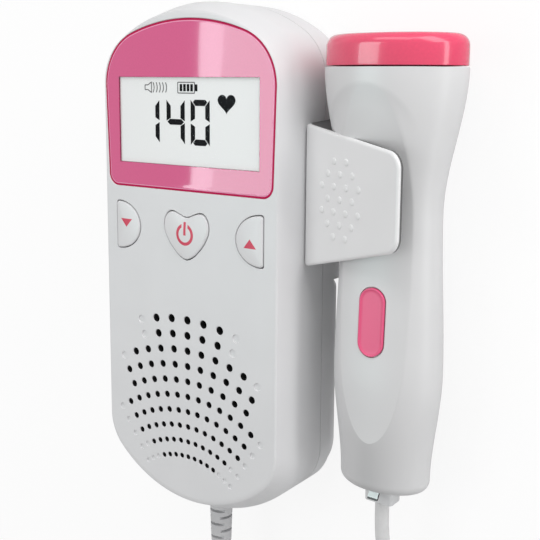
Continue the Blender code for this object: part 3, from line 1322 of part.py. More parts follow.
def coil_points():
    """The coil's centre line: two layers, with the climb in the half turn where the spiral reverses."""
    climb_from = COIL_TURNS / 2 - COIL_CLIMB_TURNS / 2
    points = [Vector((COIL_CENTRE_X - COIL_RADIUS, COIL_START_Y, COIL_LOW_Z))]
    for i in range(round(COIL_TURNS * COIL_POINTS) + 1):
        turn = i / COIL_POINTS
        angle = math.pi + 2 * math.pi * turn
        share = min(max((turn - climb_from) / COIL_CLIMB_TURNS, 0), 1)
        radius = coil_radius(turn)
        points.append(Vector((COIL_CENTRE_X + radius * math.cos(angle), COIL_CENTRE_Y + radius * math.sin(angle),
                              eased(COIL_LOW_Z, COIL_HIGH_Z, share))))
    points.append(Vector((COIL_CENTRE_X + COIL_RADIUS, COIL_START_Y, COIL_HIGH_Z)))
    return points


def least_gap(points):
    """The smallest clear space between two turns, from each point to each segment half a turn away or more."""
    least = math.inf
    for i, point in enumerate(points):
        for j in range(i + COIL_POINTS // 2, len(points) - 1):
            start, end = points[j], points[j + 1]
            along = end - start
            share = min(max((point - start).dot(along) / along.length_squared, 0), 1)
            least = min(least, (point - start - share * along).length)
    return least - CORD_DIAMETER


def tube(name, points, resolution):
    """One stretch of cord as a bevelled curve with filled ends."""
    curve = bpy.data.curves.new(name, "CURVE")
    curve.dimensions = "3D"
    curve.bevel_depth = CORD_RADIUS
    curve.bevel_resolution = resolution
    curve.use_fill_caps = True
    spline = curve.splines.new("POLY")
    spline.points.add(len(points) - 1)
    for spot, point in zip(spline.points, points):
        spot.co = (*point, 1)
    spline.use_smooth = True
    curve.materials.append(material("cord_jacket", (0.75, 0.75, 0.75), 0.45))
    made = bpy.data.objects.new(name, curve)
    bpy.context.scene.collection.objects.link(made)


def rounded_box(low, high, corner):
    """A rectangle with rounded corners in the plane of Y and Z."""
    (y0, z0), (y1, z1) = low, high
    spots = ((y1 - corner, z1 - corner, 0), (y0 + corner, z1 - corner, 1), (y0 + corner, z0 + corner, 2),
             (y1 - corner, z0 + corner, 3))
    return [p for y, z, quarter in spots
            for p in arc(y, z, corner, quarter * math.pi / 2, (quarter + 1) * math.pi / 2, TIE_STEPS)]


def cord_tie():
    """A flat band round the bundle where it is nearest to the unit."""
    near = COIL_CENTRE_Y + coil_radius(TIE_LAST_TURN) - CORD_RADIUS - TIE_PLAY
    far = COIL_CENTRE_Y + coil_radius(TIE_FIRST_TURN) + CORD_RADIUS + TIE_PLAY
    top = COIL_HIGH_Z + CORD_RADIUS + GAP
    outer = rounded_box((near - TIE_THICKNESS, 0), (far + TIE_THICKNESS, top + TIE_THICKNESS), TIE_CORNER + TIE_THICKNESS)
    inner = rounded_box((near, TIE_THICKNESS), (far, top), TIE_CORNER)
    half = TIE_WIDTH / 2
    mesh = bmesh.new()
    add_loft(mesh, [[Vector((COIL_CENTRE_X + x, y, z)) for y, z in outer] for x in (-half, half)])
    tie = finish(mesh, "cord_tie", material("tie_plastic", (0.70, 0.70, 0.70), 0.50))
    hollow = bmesh.new()
    add_loft(hollow, [[Vector((COIL_CENTRE_X + x, y, z)) for y, z in inner] for x in (-half - OVERRUN, half + OVERRUN)])
    cut(tie, hollow)


# The lead leaves the boot, comes down to the coil, and rises from the coil's upper layer to the plug
LEAD_ROUTE = ((0, BOOT_END_Y - GAP, BOOT_Z), (COIL_CENTRE_X - COIL_RADIUS, COIL_START_Y + GAP, COIL_LOW_Z))
TAIL_ROUTE = ((PROBE_X, COIL_START_Y + GAP, COIL_HIGH_Z), (PROBE_X, -0.0960, 0.0045), (PROBE_X, PLUG_END_Y - GAP, PLUG_Z))


def lead():
    step = CORD_STEP_SHARE * CORD_DIAMETER
    coil = coil_points()
    print(f"least gap between turns: {least_gap(coil[1:-1]) * 1000:.2f} mm")
    routes = (("cord_lead", smooth_route(LEAD_ROUTE, ((0, -1, 0), (0, -1, 0)), step), CORD_RESOLUTION),
              ("cord_coil", coil, COIL_RESOLUTION),
              ("cord_tail", smooth_route(TAIL_ROUTE, ((0, 1, 0), (0, 1, 0)), step), CORD_RESOLUTION))
    for name, points, resolution in routes:
        print(f"{name}: {sum((q - p).length for p, q in zip(points, points[1:])) * 1000:.0f} mm")
        tube(name, points, resolution)


# Assembly

def clear_scene():
    for thing in list(bpy.data.objects):
        bpy.data.objects.remove(thing)


def main():
    clear_scene()
    front_case()
    rear_case()
    screws("case_screws", screw_places(), (0, 0, 1), SCREW_LENGTH)
    display_window()
    window_print()
    display_stack()
    main_board()
    tact_switches()
    buttons()
    speaker()
    battery_cells()
    battery_contacts()
    battery_door()
    probe_holder()
    probe()
    cord_boot()
    lead()
    cord_tie()


main()
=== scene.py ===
"""A pocket fetal heartbeat monitor with its ultrasound probe in the side clip, dressed over its CAD frame.

Sizes are in millimetres in the CAD row's frame: +Z out of the display, +Y towards the display end and +X
towards the probe, with the origin in the middle of the unit's back. Meshes are written in metres.
"""

import math

import bmesh
import bpy
import numpy as np
from mathutils import Matrix, Vector


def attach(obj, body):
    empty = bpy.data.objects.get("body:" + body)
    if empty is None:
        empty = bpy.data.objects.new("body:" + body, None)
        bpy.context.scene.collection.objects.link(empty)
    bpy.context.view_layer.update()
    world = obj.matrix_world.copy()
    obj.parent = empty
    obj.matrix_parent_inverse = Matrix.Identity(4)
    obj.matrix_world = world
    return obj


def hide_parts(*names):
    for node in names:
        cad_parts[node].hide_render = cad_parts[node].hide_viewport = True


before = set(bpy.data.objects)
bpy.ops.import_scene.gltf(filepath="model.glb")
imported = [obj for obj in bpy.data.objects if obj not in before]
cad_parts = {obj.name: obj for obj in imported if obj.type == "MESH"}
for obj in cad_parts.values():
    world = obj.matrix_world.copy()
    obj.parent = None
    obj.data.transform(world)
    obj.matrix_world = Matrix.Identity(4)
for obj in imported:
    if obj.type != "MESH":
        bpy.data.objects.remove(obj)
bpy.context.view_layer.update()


# Rear case
# The lower half of the unit's housing, injection moulded in white ABS with a fine spark-eroded grain. Its floor
# carries the battery bay, which the sliding door closes, and four screws pull it against the front half.

MM = 0.001
GAP = 0.3
UNIT_HALF_WIDTH = 30.3
UNIT_HALF_LENGTH = 68.2
PARTING_Z = 9.7
WALL = 2.0
BACK_WALL = 1.8
BACK_EDGE = 2.4
DOOR_TOP_Y = -3.2
DOOR_DEPTH = 4.3
DOOR_CORNER = 2.5
BAY_HALF_WIDTH = 15.1
BAY_WALL = 1.1
BAY_LOW_Y = -60.8
BAY_HIGH_Y = -5.2
BAY_TOP_Z = 18.2
SCREW_PLACES = ((-15.0, 55.2, 0.6), (15.0, 55.2, 0.6), (-23.5, -38.5, 4.6), (23.5, -38.5, 4.6))
HEAD_HOLE = 2.4
SHANK_HOLE = 1.4
POST = 3.8
LEAD_Z = 13.7
WHITE = (0.79, 0.79, 0.80)


class Socket:
    """One output of a shader node: arithmetic on it adds Math nodes, and node() adds any other node beside it."""

    def __init__(self, tree, output):
        self.tree = tree
        self.output = output

    def node(self, kind, settings=None, inputs=None, output=0):
        """Adds a node, sets its settings, then its sockets' values or links, and gives one of its outputs."""
        made = self.tree.nodes.new("ShaderNode" + kind)
        for name, value in (settings or {}).items():
            setattr(made, name, value)
        for name, value in (inputs or {}).items():
            if isinstance(value, Socket):
                self.tree.links.new(value.output, made.inputs[name])
            else:
                made.inputs[name].default_value = value
        return Socket(self.tree, made.outputs[output])

    def math(self, operation, *others):
        return self.node("Math", {"operation": operation}, dict(enumerate((self, *others))))

    def split(self):
        """The three parts of these coordinates, in millimetres."""
        parts = self.node("SeparateXYZ", {}, {"Vector": self}).output.node
        return [Socket(self.tree, part) / MM for part in parts.outputs]

    def noise(self, scale, detail=2.0, roughness=0.5):
        """A random pattern at these coordinates, from 0 to 1."""
        return self.node("TexNoise", {}, {"Vector": self, "Scale": scale, "Detail": detail, "Roughness": roughness})

    def step(self, low, high):
        """0 below low, 1 above high and a straight ramp between."""
        return self.node("MapRange", {"clamp": True}, {"Value": self, "From Min": low, "From Max": high})

    def blend(self, first, second):
        """The first colour where this is 0 and the second where it is 1."""
        colours = {"Factor": self}
        for name, value in ((6, first), (7, second)):
            colours[name] = value if isinstance(value, Socket) else (*value, 1)
        return self.node("Mix", {"data_type": "RGBA"}, colours, output=2)


for sign, operation in (("add", "ADD"), ("sub", "SUBTRACT"), ("mul", "MULTIPLY"), ("truediv", "DIVIDE"),
                        ("gt", "GREATER_THAN"), ("lt", "LESS_THAN")):
    setattr(Socket, f"__{sign}__", lambda a, b, o=operation: a.math(o, b))
Socket.__radd__ = Socket.__add__
Socket.__rmul__ = Socket.__mul__
Socket.__rsub__ = lambda a, b: -a + b
Socket.__neg__ = lambda a: a * -1
Socket.__abs__ = lambda a: a.math("ABSOLUTE")


def finish(name, **values):
    """A material with one Principled shader, its constants set on its sockets, and its object coordinates."""
    made = bpy.data.materials.new(name)
    made.use_nodes = True
    tree = made.node_tree
    shader = tree.nodes["Principled BSDF"]
    place = Socket(tree, tree.nodes.new("ShaderNodeTexCoord").outputs["Object"])
    for key, value in values.items():
        socket = shader.inputs[key.replace("_", " ").title().replace("Ior", "IOR")]
        socket.default_value = (*value, 1) if isinstance(value, tuple) else value
    return made, shader, place


def feed(shader, name, value):
    """Links a worked-out value to one socket of the shader."""
    value.tree.links.new(value.output, shader.inputs[name])


def speckled(name, first, second, scale, span=(0, 1), detail=2.0, **values):
    """A plain material whose colour wavers between two, over a span of a noise's values."""
    made, shader, place = finish(name, **values)
    feed(shader, "Base Color", place.noise(scale, detail).step(*span).blend(first, second))
    return made


def reopened(look):
    """A finished material's shader, object coordinates and colour, to paint over the colour."""
    tree = look.node_tree
    shader = tree.nodes["Principled BSDF"]
    place = Socket(tree, tree.nodes["Texture Coordinate"].outputs["Object"])
    return shader, place, Socket(tree, shader.inputs["Base Color"].links[0].from_socket)


def moulded(name, colour, roughness, grain=0.25, depth=0.012, cloud=0.03):
    """Moulded plastic: a fine eroded grain in its normal, slight clouds in its colour and a gloss that wavers."""
    made, shader, place = finish(name, roughness=roughness)
    noise = place.noise(1 / (grain * MM), 3.0, 0.6)
    darker = tuple(c * (1 - cloud) for c in colour)
    feed(shader, "Base Color", place.noise(70.0).step(0.3, 0.7).blend(darker, colour))
    feed(shader, "Roughness", roughness - 0.04 + 0.08 * noise)
    bump = place.node("Bump", {}, {"Height": noise, "Distance": depth * MM, "Strength": 0.7})
    feed(shader, "Normal", bump)
    return made


def arc(x, y, radius, start, end, steps):
    """Points of a circular arc: (x, y) plus the radius times (cos a, sin a), the angle a in even steps."""
    a = np.linspace(start, end, steps + 1)
    return np.column_stack([x + radius * np.cos(a), y + radius * np.sin(a)])


def rounded_end(half_width, reach, corner, crown):
    """A rounded end towards +Y, right to left: a corner arc, a wide crown arc and a corner arc, all tangent."""
    side = half_width - corner
    crown_y = reach - crown
    corner_y = crown_y + math.sqrt((crown - corner) ** 2 - side ** 2)
    split = math.atan2(corner_y - crown_y, side)
    right = arc(side, corner_y, corner, 0, split, 20)
    middle = arc(0, crown_y, crown, split, math.pi - split, 40)
    left = arc(-side, corner_y, corner, math.pi - split, math.pi, 20)
    return np.vstack([right, middle[1:-1], left])


def lower_end(side_in, bottom_in):
    """The unit's lower end, left to right, drawn in from its widest outline."""
    return -rounded_end(UNIT_HALF_WIDTH - side_in, UNIT_HALF_LENGTH - bottom_in, 14.0 - side_in, 38.0 - side_in)


def unit_outline(side_in, top_in, bottom_in):
    """The unit's outline, drawn in by its own amount at the sides, the top and the bottom."""
    top = rounded_end(UNIT_HALF_WIDTH - side_in, UNIT_HALF_LENGTH - top_in, 15.0 - side_in, 42.0 - side_in)
    return np.vstack([top, lower_end(side_in, bottom_in)])


def even_outline(inset):
    """The unit's outline, drawn in by the same amount all round."""
    return unit_outline(inset, inset, inset)


def door_outline(side_in, top_y, corner):
    """The unit's outline below a straight top edge with small corners."""
    half = UNIT_HALF_WIDTH - side_in
    return np.vstack([arc(half - corner, top_y - corner, corner, 0, math.pi / 2, 8),
                      arc(corner - half, top_y - corner, corner, math.pi / 2, math.pi, 8),
                      lower_end(side_in, side_in)])


def softened(points, reach, steps=5):
    """A polyline whose inner corners become parabolic arcs that start and end the given reach from them."""
    points = np.asarray(points, float)
    reach = np.broadcast_to(reach, len(points) - 2)
    t = np.linspace(0, 1, steps + 1)[:, None]
    rows = [points[:1]]
    for before, corner, after, r in zip(points, points[1:], points[2:], reach):
        start = corner + (before - corner) * min(r / np.linalg.norm(before - corner), 0.5)
        end = corner + (after - corner) * min(r / np.linalg.norm(after - corner), 0.5)
        rows.append((1 - t) ** 2 * start + 2 * t * (1 - t) * corner + t ** 2 * end)
    return np.vstack(rows + [points[-1:]])


def at_z(outline, z):
    return np.column_stack([outline, np.full(len(outline), float(z))])


def stack(outline, profile):
    """Rings of an outline function: each (inset, z) pair makes one."""
    return [at_z(outline(inset), z) for inset, z in profile]


def quarter(inset, z, across, up, steps):
    """A quarter ellipse in (inset, z) pairs, which leaves its start upright and arrives level."""
    angles = np.linspace(0, math.pi / 2, steps + 1)
    return [(inset + across * (1 - math.cos(a)), z + up * math.sin(a)) for a in angles]


def loft(rings):
    """A closed solid through rings of equal count: quads between neighbours and one flat face at each end."""
    rings = np.asarray(rings, float)
    rows, columns = rings.shape[:2]
    index = np.arange(rows * columns).reshape(rows, columns)
    after = np.roll(index, -1, axis=1)
    quads = np.stack([index[:-1], after[:-1], after[1:], index[1:]], axis=-1).reshape(-1, 4)
    return rings.reshape(-1, 3), quads.tolist() + [index[0][::-1].tolist(), index[-1].tolist()]


def prism(outline, low, high):
    """A solid with one outline between two heights."""
    return loft([at_z(outline, low), at_z(outline, high)])


def block(low, high):
    """A box between two corners."""
    (x0, y0, z0), (x1, y1, z1) = low, high
    return prism([(x0, y0), (x1, y0), (x1, y1), (x0, y1)], z0, z1)


def turned(centre, profile, sides=40, axis=(0, 0, 1)):
    """A turned solid: each (distance, radius) pair becomes a circle that far along the axis from its centre."""
    axis = np.array(axis, float) / np.linalg.norm(axis)
    first = np.cross(axis, (0.3, 0.5, 0.81) if abs(axis[2]) < 0.9 else (1, 0, 0))
    first /= np.linalg.norm(first)
    second = np.cross(axis, first)
    a = np.linspace(0, 2 * math.pi, sides, endpoint=False)
    circle = np.outer(np.cos(a), first) + np.outer(np.sin(a), second)
    return loft([np.asarray(centre) + d * axis + r * circle for d, r in profile])


def mesh_of(name, parts):
    """One mesh from several solids, in metres, with its faces turned outwards."""
    points, faces, start = [], [], 0
    for some_points, some_faces in parts:
        points.append(some_points)
        faces += [[i + start for i in face] for face in some_faces]
        start += len(some_points)
    data = bpy.data.meshes.new(name)
    data.from_pydata((np.vstack(points) * MM).tolist(), [], faces)
    work = bmesh.new()
    work.from_mesh(data)
    bmesh.ops.remove_doubles(work, verts=work.verts, dist=1e-7)
    bmesh.ops.recalc_face_normals(work, faces=work.faces)
    work.to_mesh(data)
    work.free()
    return data


def placed(name, data):
    """A new object in the scene."""
    made = bpy.data.objects.new(name, data)
    bpy.context.scene.collection.objects.link(made)
    return made


def add_piece(name, parts, look, body, slot, *nodes):
    """A new piece in its finish, riding on its body and standing for its CAD nodes."""
    made = placed(name, mesh_of(name, parts))
    made.data.materials.append(look)
    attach(made, body)
    if nodes:
        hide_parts(*nodes)
    shade(made)
    return made


def shade(piece, angle=32):
    """Smooth shading between faces that meet at less than the angle."""
    piece.data.shade_smooth()
    piece.data.set_sharp_from_angle(angle=math.radians(angle))


def baked(piece):
    """Puts what the piece's modifiers make into its mesh."""
    shown = piece.evaluated_get(bpy.context.evaluated_depsgraph_get())
    made = bpy.data.meshes.new_from_object(shown)
    piece.modifiers.clear()
    old = piece.data
    piece.data = made
    made.name = piece.name
    bpy.data.meshes.remove(old)


def carve(piece, parts, operation="DIFFERENCE"):
    """Cuts solids out of a piece, or joins them to it, and keeps the result as its mesh."""
    tool = placed("tool", mesh_of("tool", parts))
    change = piece.modifiers.new("change", "BOOLEAN")
    change.operation = operation
    change.solver = "EXACT"
    change.object = tool
    baked(piece)
    bpy.data.objects.remove(tool)


def weighted(piece, angle=32):
    """Shading in which large faces stay flat and their small fillets blend into them."""
    shade(piece, angle)
    change = piece.modifiers.new("flat_faces", "WEIGHTED_NORMAL")
    change.keep_sharp = True
    change.weight = 60


def faces_of(piece):
    """The middles of a piece's faces, in millimetres, and their normals, as three rows each."""
    faces = piece.data.polygons
    return np.array([face.center for face in faces]).T / MM, np.array([face.normal for face in faces]).T


def paint(piece, index, *looks):
    """Gives a piece more materials, and each face the one with its number. Its own look is number 0."""
    for look in looks:
        piece.data.materials.append(look)
    piece.data.polygons.foreach_set("material_index", np.asarray(index, np.int32))


def screw_hole(place, recess):
    """A cutter for a screw's sunk head, which goes the recess's depth into the wall, and for its shank."""
    return turned(place, ((-4, HEAD_HOLE), (recess, HEAD_HOLE), (recess, SHANK_HOLE), (14, SHANK_HOLE)))


white_case = moulded("white_case", WHITE, 0.42)

back_profile = softened([(0, PARTING_Z - GAP), (0, 1.15), (1.15, 0), (BACK_EDGE + 1, 0)], (1.1, 1.1), 6)
inner_profile = ((WALL + BACK_EDGE, BACK_WALL), (WALL, BACK_WALL + BACK_EDGE), (WALL, PARTING_Z - 0.02),
                 (0.35, PARTING_Z - 0.02), (0.35, PARTING_Z - GAP))
rear = add_piece("rear_shell", [loft(stack(even_outline, (*inner_profile, *back_profile)))], white_case, "unit",
                 "white_plastic", "rear_case")
carve(rear, [prism(door_outline(WALL - 0.6, DOOR_TOP_Y + WALL, DOOR_CORNER), 1.2, 6.3)], "UNION")
carve(rear, [block((-BAY_HALF_WIDTH - BAY_WALL, BAY_LOW_Y - BAY_WALL, DOOR_DEPTH + 0.6),
                   (BAY_HALF_WIDTH + BAY_WALL, BAY_HIGH_Y, BAY_TOP_Z))], "UNION")
carve(rear, [turned((x, y, 0), ((1.2 if z < 1 else 4.9, POST), (9.4, POST))) for x, y, z in SCREW_PLACES], "UNION")
carve(rear, [prism(door_outline(-4, DOOR_TOP_Y, DOOR_CORNER), -4, DOOR_DEPTH)])
carve(rear, [block((-BAY_HALF_WIDTH, BAY_LOW_Y, 0.3), (BAY_HALF_WIDTH, BAY_HIGH_Y - BAY_WALL, BAY_TOP_Z - BAY_WALL))])
carve(rear, [screw_hole(place, 1.7) for place in SCREW_PLACES])
weighted(rear)


# Battery door
# A white tray that closes the lower back. It is moulded in the case's ABS and slides off towards the cord's end
# when a thumb presses on its four grip ribs.

DOOR_WALL = 1.4
DOOR_FLOOR = 1.6
DOOR_IN = 1.1

door_top = DOOR_TOP_Y - GAP
door_profile = softened([(0, DOOR_DEPTH - GAP), (0, 0.8), (0.8, 0), (3.2, 0)], (0.7, 0.7), 5)
door_rings = [at_z(door_outline(DOOR_IN + DOOR_WALL, door_top - DOOR_WALL, 2.2), z)
              for z in (DOOR_FLOOR, DOOR_DEPTH - GAP)]
door_rings += [at_z(door_outline(DOOR_IN + i, door_top - i / 3, DOOR_CORNER), z) for i, z in door_profile]
door = add_piece("battery_cover", [loft(door_rings)], white_case, "door", "white_plastic", "battery_door")
carve(door, [block((-BAY_HALF_WIDTH, door_top - DOOR_WALL - 0.6, 2.0), (BAY_HALF_WIDTH, door_top + 4, 8))])
grip_y = -44.0 - 2.2 * np.arange(4)
carve(door, [turned((-6, y - 0.55, -0.35), ((0, 0.8), (12, 0.8)), 24, (1, 0, 0)) for y in grip_y])
weighted(door)


# Front case
# The upper half of the housing, with a flat face, a drafted band round it, and the openings for the window and
# the buttons. Round holes in fanned rows let the sound out, and blind dimples carry the fan's pattern on.

FACE_Z = 28.0
CEILING_Z = 25.2
LEDGE_Z = 26.1
FACE_IN = (1.6, 2.9, 4.2)
VIEW = (23.35, 26.5, 49.0)
GRILLE_FOCUS_Y = -77.2
GRILLE_PITCH = 4.2
GRILLE_OPEN = (2, 2, 4, 5, 5, 6, 6, 6, 5, 4)
GRILLE_BLIND = (1, 1, 1, 0, 0, 1, 1, 1, 2, 3)
HEART_SHARES = np.array(((0, 0), (0.05, 0.004), (0.14, 0.02), (0.27, 0.06), (0.40, 0.115), (0.51, 0.18), (0.63, 0.25),
                         (0.73, 0.32), (0.81, 0.39), (0.88, 0.463), (0.93, 0.52), (0.97, 0.58), (0.993, 0.64),
                         (1.0, 0.70), (0.985, 0.78), (0.95, 0.85), (0.90, 0.905), (0.83, 0.955), (0.74, 0.99),
                         (0.65, 1.0), (0.56, 0.997), (0.47, 0.985), (0.36, 0.962), (0.25, 0.935), (0.13, 0.905),
                         (0.0, 0.893)))


def band_ring(inset, z, wall=0.0):
    """One ring of the case: the outline drawn in by shares of the face's own insets."""
    share = inset / FACE_IN[0]
    return at_z(unit_outline(*[share * i + wall for i in FACE_IN]), z)


def window_outline(inset):
    """The window: a crown on top, and sides that draw in to a foot with small corners."""
    half, foot, corner, low = 28.05 - inset, 27.3 - inset, 3.0 - inset, 20.2 + inset
    top = rounded_end(half, 63.3 - inset, 14.0 - inset, 56.0 - inset)
    return np.vstack([top, arc(corner - foot, low + corner, corner, math.pi, 1.5 * math.pi, 12),
                      arc(foot - corner, low + corner, corner, -0.5 * math.pi, 0, 12)])


def heart_outline(grow):
    """The heart: its right half from shares of the half-width and height, and the same mirrored."""
    right = HEART_SHARES * (7.4 + grow, 12.2 + 2 * grow) + (0, 2.2 - grow)
    return np.vstack([right[:-1], right[:0:-1] * (-1, 1)])


def side_outline(side, grow):
    """A D: a straight outer edge with small corners and a half ellipse towards the middle."""
    edge, half, width = 24.6 + grow, 6.35 + grow, 8.2 + 2 * grow
    corner = 0.12 * half
    bow = arc(0, 0, 1, math.pi / 2, 1.5 * math.pi, 36) * (width - corner, half) + (edge - corner, 9.3)
    upper = arc(edge - corner, 9.3 + half - corner, corner, 0, math.pi / 2, 6)
    lower = arc(edge - corner, 9.3 - half + corner, corner, -math.pi / 2, 0, 6)
    return np.vstack([upper[:-1], bow, lower[1:]]) * (side, 1)


def mouth(outline, low, edge=0.22):
    """A cutter with upright walls that flare at the face, which leaves a small fillet round the opening."""
    return loft(stack(outline, [(0, low), *quarter(0, FACE_Z - edge, edge, edge, 4), (edge + 0.02, FACE_Z + 2)]))


def grille():
    """The holes on rays 5 degrees apart from a focus below the unit, smaller towards the lower rows."""
    rows = np.concatenate([np.full(2 * (o + b) + 1, r) for r, (o, b) in enumerate(zip(GRILLE_OPEN, GRILLE_BLIND))])
    columns = np.concatenate([np.arange(-o - b, o + b + 1) for o, b in zip(GRILLE_OPEN, GRILLE_BLIND)])
    reach = (15 - rows) * GRILLE_PITCH
    angle = np.radians(5) * columns
    radius = 1.10 - 0.43 * rows / 9
    through = np.abs(columns) <= np.array(GRILLE_OPEN)[rows]
    return reach * np.sin(angle), GRILLE_FOCUS_Y + reach * np.cos(angle), radius, through


band = softened([(0, PARTING_Z), (0, 20.33), (1.468, FACE_Z), (4.0, FACE_Z)], (1.5, 0.6), 7)
front_rings = [band_ring(1.04, CEILING_Z, WALL), *stack(even_outline, [(WALL, 20), (WALL, PARTING_Z)]),
               *[band_ring(i, z) for i, z in band[:-1]]]
front = add_piece("front_shell", [loft(front_rings)], white_case, "unit", "white_plastic", "front_case")
carve(front, [mouth(lambda g: window_outline(-0.3 - g), LEDGE_Z)])
carve(front, [block((-24.55, 25.3, 20), (24.55, 50.2, LEDGE_Z + 0.6))])
carve(front, [mouth(lambda g: heart_outline(0.3 + g), 20), mouth(lambda g: side_outline(-1, 0.3 + g), 20),
              mouth(lambda g: side_outline(1, 0.3 + g), 20)])
bore = ((20, 0), (27.75, 0), (27.9, 0.05), (28.0, 0.16), (29, 0.6))
dimple = ((27.62, -0.28), (27.65, -0.1), (27.82, -0.02), (28.0, 0.1), (29, 0.6))
hole_x, hole_y, hole_r, through = grille()
carve(front, [turned((x, y, 0), [(z, r + wider) for z, wider in (bore if is_open else dimple)], 20)
              for x, y, r, is_open in zip(hole_x, hole_y, hole_r, through)])
# The upright walls of the open holes, below their rounded rims, are painted near black: painted shade inside the
# holes.
(x, y, z), normal = faces_of(front)
near = np.hypot(x[:, None] - hole_x, y[:, None] - hole_y) < hole_r + 0.02
in_bore = near[:, through].any(axis=1) & (np.abs(normal[2]) < 0.2) & (z > CEILING_Z - 1) & (z < FACE_Z - 0.2)
paint(front, in_bore, moulded("bore_wall_painted_shade", (0.006, 0.006, 0.007), 0.9, 0.3, 0.01, 0.3))
carve(front, [turned((0, -73, LEAD_Z), ((0, 3.6), (10, 3.6)), axis=(0, 1, 0))])
weighted(front, 40)


# Speaker behind the grille
# A steel basket with a paper cone and a magnet pot. A black acoustic cloth under the ceiling keeps dust out and
# makes the holes look black.

NICKEL = (0.62, 0.62, 0.63)

cloth, shader, place = finish("acoustic_cloth", roughness=0.95, specular_ior_level=0.1)
threads = place.node("TexWave", {"bands_direction": "X"}, {"Vector": place, "Scale": 900.0})
feed(shader, "Base Color", threads.blend((0.004, 0.004, 0.004), (0.012, 0.012, 0.013)))
add_piece("speaker_cloth", [prism(door_outline(3.4, -11.6, 6.0), 24.94, 25.16)], cloth, "unit", "cone_paper")


def dress(look, *nodes):
    """Gives CAD nodes whose shape is right a better material."""
    for node in nodes:
        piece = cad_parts[node]
        piece.data.materials.clear()
        piece.data.materials.append(look)


nickel, shader, place = finish("nickel_plate", metallic=1.0, roughness=0.32)
drawn = place.noise(1600.0, 4.0)
feed(shader, "Base Color", drawn.step(0.25, 0.75).blend(tuple(0.88 * c for c in NICKEL), NICKEL))
feed(shader, "Roughness", 0.24 + 0.16 * drawn)
dress(nickel, "speaker_frame", "speaker_magnet")
dress(speckled("cone_paper", (0.03, 0.03, 0.03), (0.07, 0.068, 0.065), 2500.0, (0.3, 0.7), 5.0, roughness=0.85),
      "speaker_cone")


# Window, printed film and display
# pale reflective display with its dark segments under it. Under the lens also lies the film. The lens's cut edge is
# painted as a dark crimson line, the print's colour darkened as painted shade, and a thin band of its bevel is
# painted bright pink as a painted highlight.

PINK_PRINT = (0.78, 0.078, 0.265)
LENS_TOP = 27.9
GLASS_TOP = 27.45
SEGMENT_DEPTH = 0.05
RECESS = (-25.8, 23.9, 25.8, 51.7)
STROKE = 1.4
EYE = (155.08, 48.22, 206.18)

acrylic, shader, place = finish("printed_acrylic", roughness=0.06, coat_weight=1.0, coat_roughness=0.03, coat_ior=1.5,
                                specular_ior_level=0.3)
x, y, _ = place.split()
half, low, high = VIEW
ends = (high - low) / 2 - abs(y - (high + low) / 2)
inside = (half - abs(x)).math("MINIMUM", ends).step(-0.12, 0.12)  # 1 over the display, where the lens is clear
pink = place.noise(1900.0).step(0.3, 0.7).blend(tuple(0.96 * c for c in PINK_PRINT), PINK_PRINT)
feed(shader, "Base Color", inside.blend(pink, (0.02, 0.02, 0.02)))
feed(shader, "Alpha", 1 - 0.985 * inside)
feed(shader, "Coat Weight", 1 - inside)

lens_profile = [(-0.25, LENS_TOP - 1.0), (-0.25, LENS_TOP - 0.14), (-0.2, LENS_TOP - 0.1), (0.2, LENS_TOP - 0.09),
                (0.24, LENS_TOP - 0.07), (0.5, LENS_TOP - 0.004), (0.6, LENS_TOP)]
lens = add_piece("window_lens", [loft(stack(window_outline, lens_profile))], acrylic, "unit", "clear_window",
                 "display_window")
carve(lens, [block((*RECESS[:2], LEDGE_Z - 0.1), (*RECESS[2:], GLASS_TOP + 0.1))])
(x, y, z), normal = faces_of(lens)
# Faces just under the lens's top are painted: the cut edge in the print's crimson, darkened as painted shade, and a
# thin band of the bevel bright pink as a painted highlight.
index = np.where(z > LENS_TOP - 0.006, 0, np.where(z > LENS_TOP - 0.075, 2, 1))
in_recess = (np.abs(x) <= 21.2) & (np.abs(y - 42) * 1.1 <= 21.2) & (np.abs(z - 27) < 0.55)
index[(normal[2] < -0.9) | in_recess] = 0  # the back and the recess over the display keep the printed acrylic
painted_edge_shade = speckled("lens_edge_painted_shade", (0.54, 0.004, 0.075), (0.60, 0.008, 0.095), 400.0, roughness=0.5,
                    specular_ior_level=0.1)
painted_bevel_highlight = speckled("lens_bevel_painted_highlight", (0.86, 0.27, 0.48), (0.90, 0.33, 0.54), 400.0, roughness=0.3, coat_weight=0.5)
paint(lens, index, painted_edge_shade, painted_bevel_highlight)

dress(speckled("printed_film", tuple(0.9 * c for c in PINK_PRINT), PINK_PRINT, 1900.0, roughness=0.3), "window_print")
lcd_look = speckled("display_face", (0.855, 0.865, 0.86), (0.885, 0.89, 0.885), 5200.0, (0.3, 0.7), 1.0,
                    roughness=0.35, specular_ior_level=0.3, emission_color=(0.90, 0.95, 0.95), emission_strength=0.12)
dress(lcd_look, "lcd_glass")
add_piece("display_front_glass", [block((-25.6, 24.0, 26.64), (25.6, 51.6, GLASS_TOP))], lcd_look, "unit", "lcd")
dress(speckled("light_guide", (0.80, 0.80, 0.80), (0.86, 0.86, 0.86), 900.0, roughness=0.4), "lcd_backlight")


def plate(points):
    """A thin shape on the display. Its points are given on the face plane, and go down along the line of sight."""
    eye = np.array(EYE[:2])
    fall = (EYE[2] - GLASS_TOP - SEGMENT_DEPTH / 2) / (EYE[2] - FACE_Z)
    return prism(eye + (np.asarray(points, float) - eye) * fall, GLASS_TOP, GLASS_TOP + SEGMENT_DEPTH)


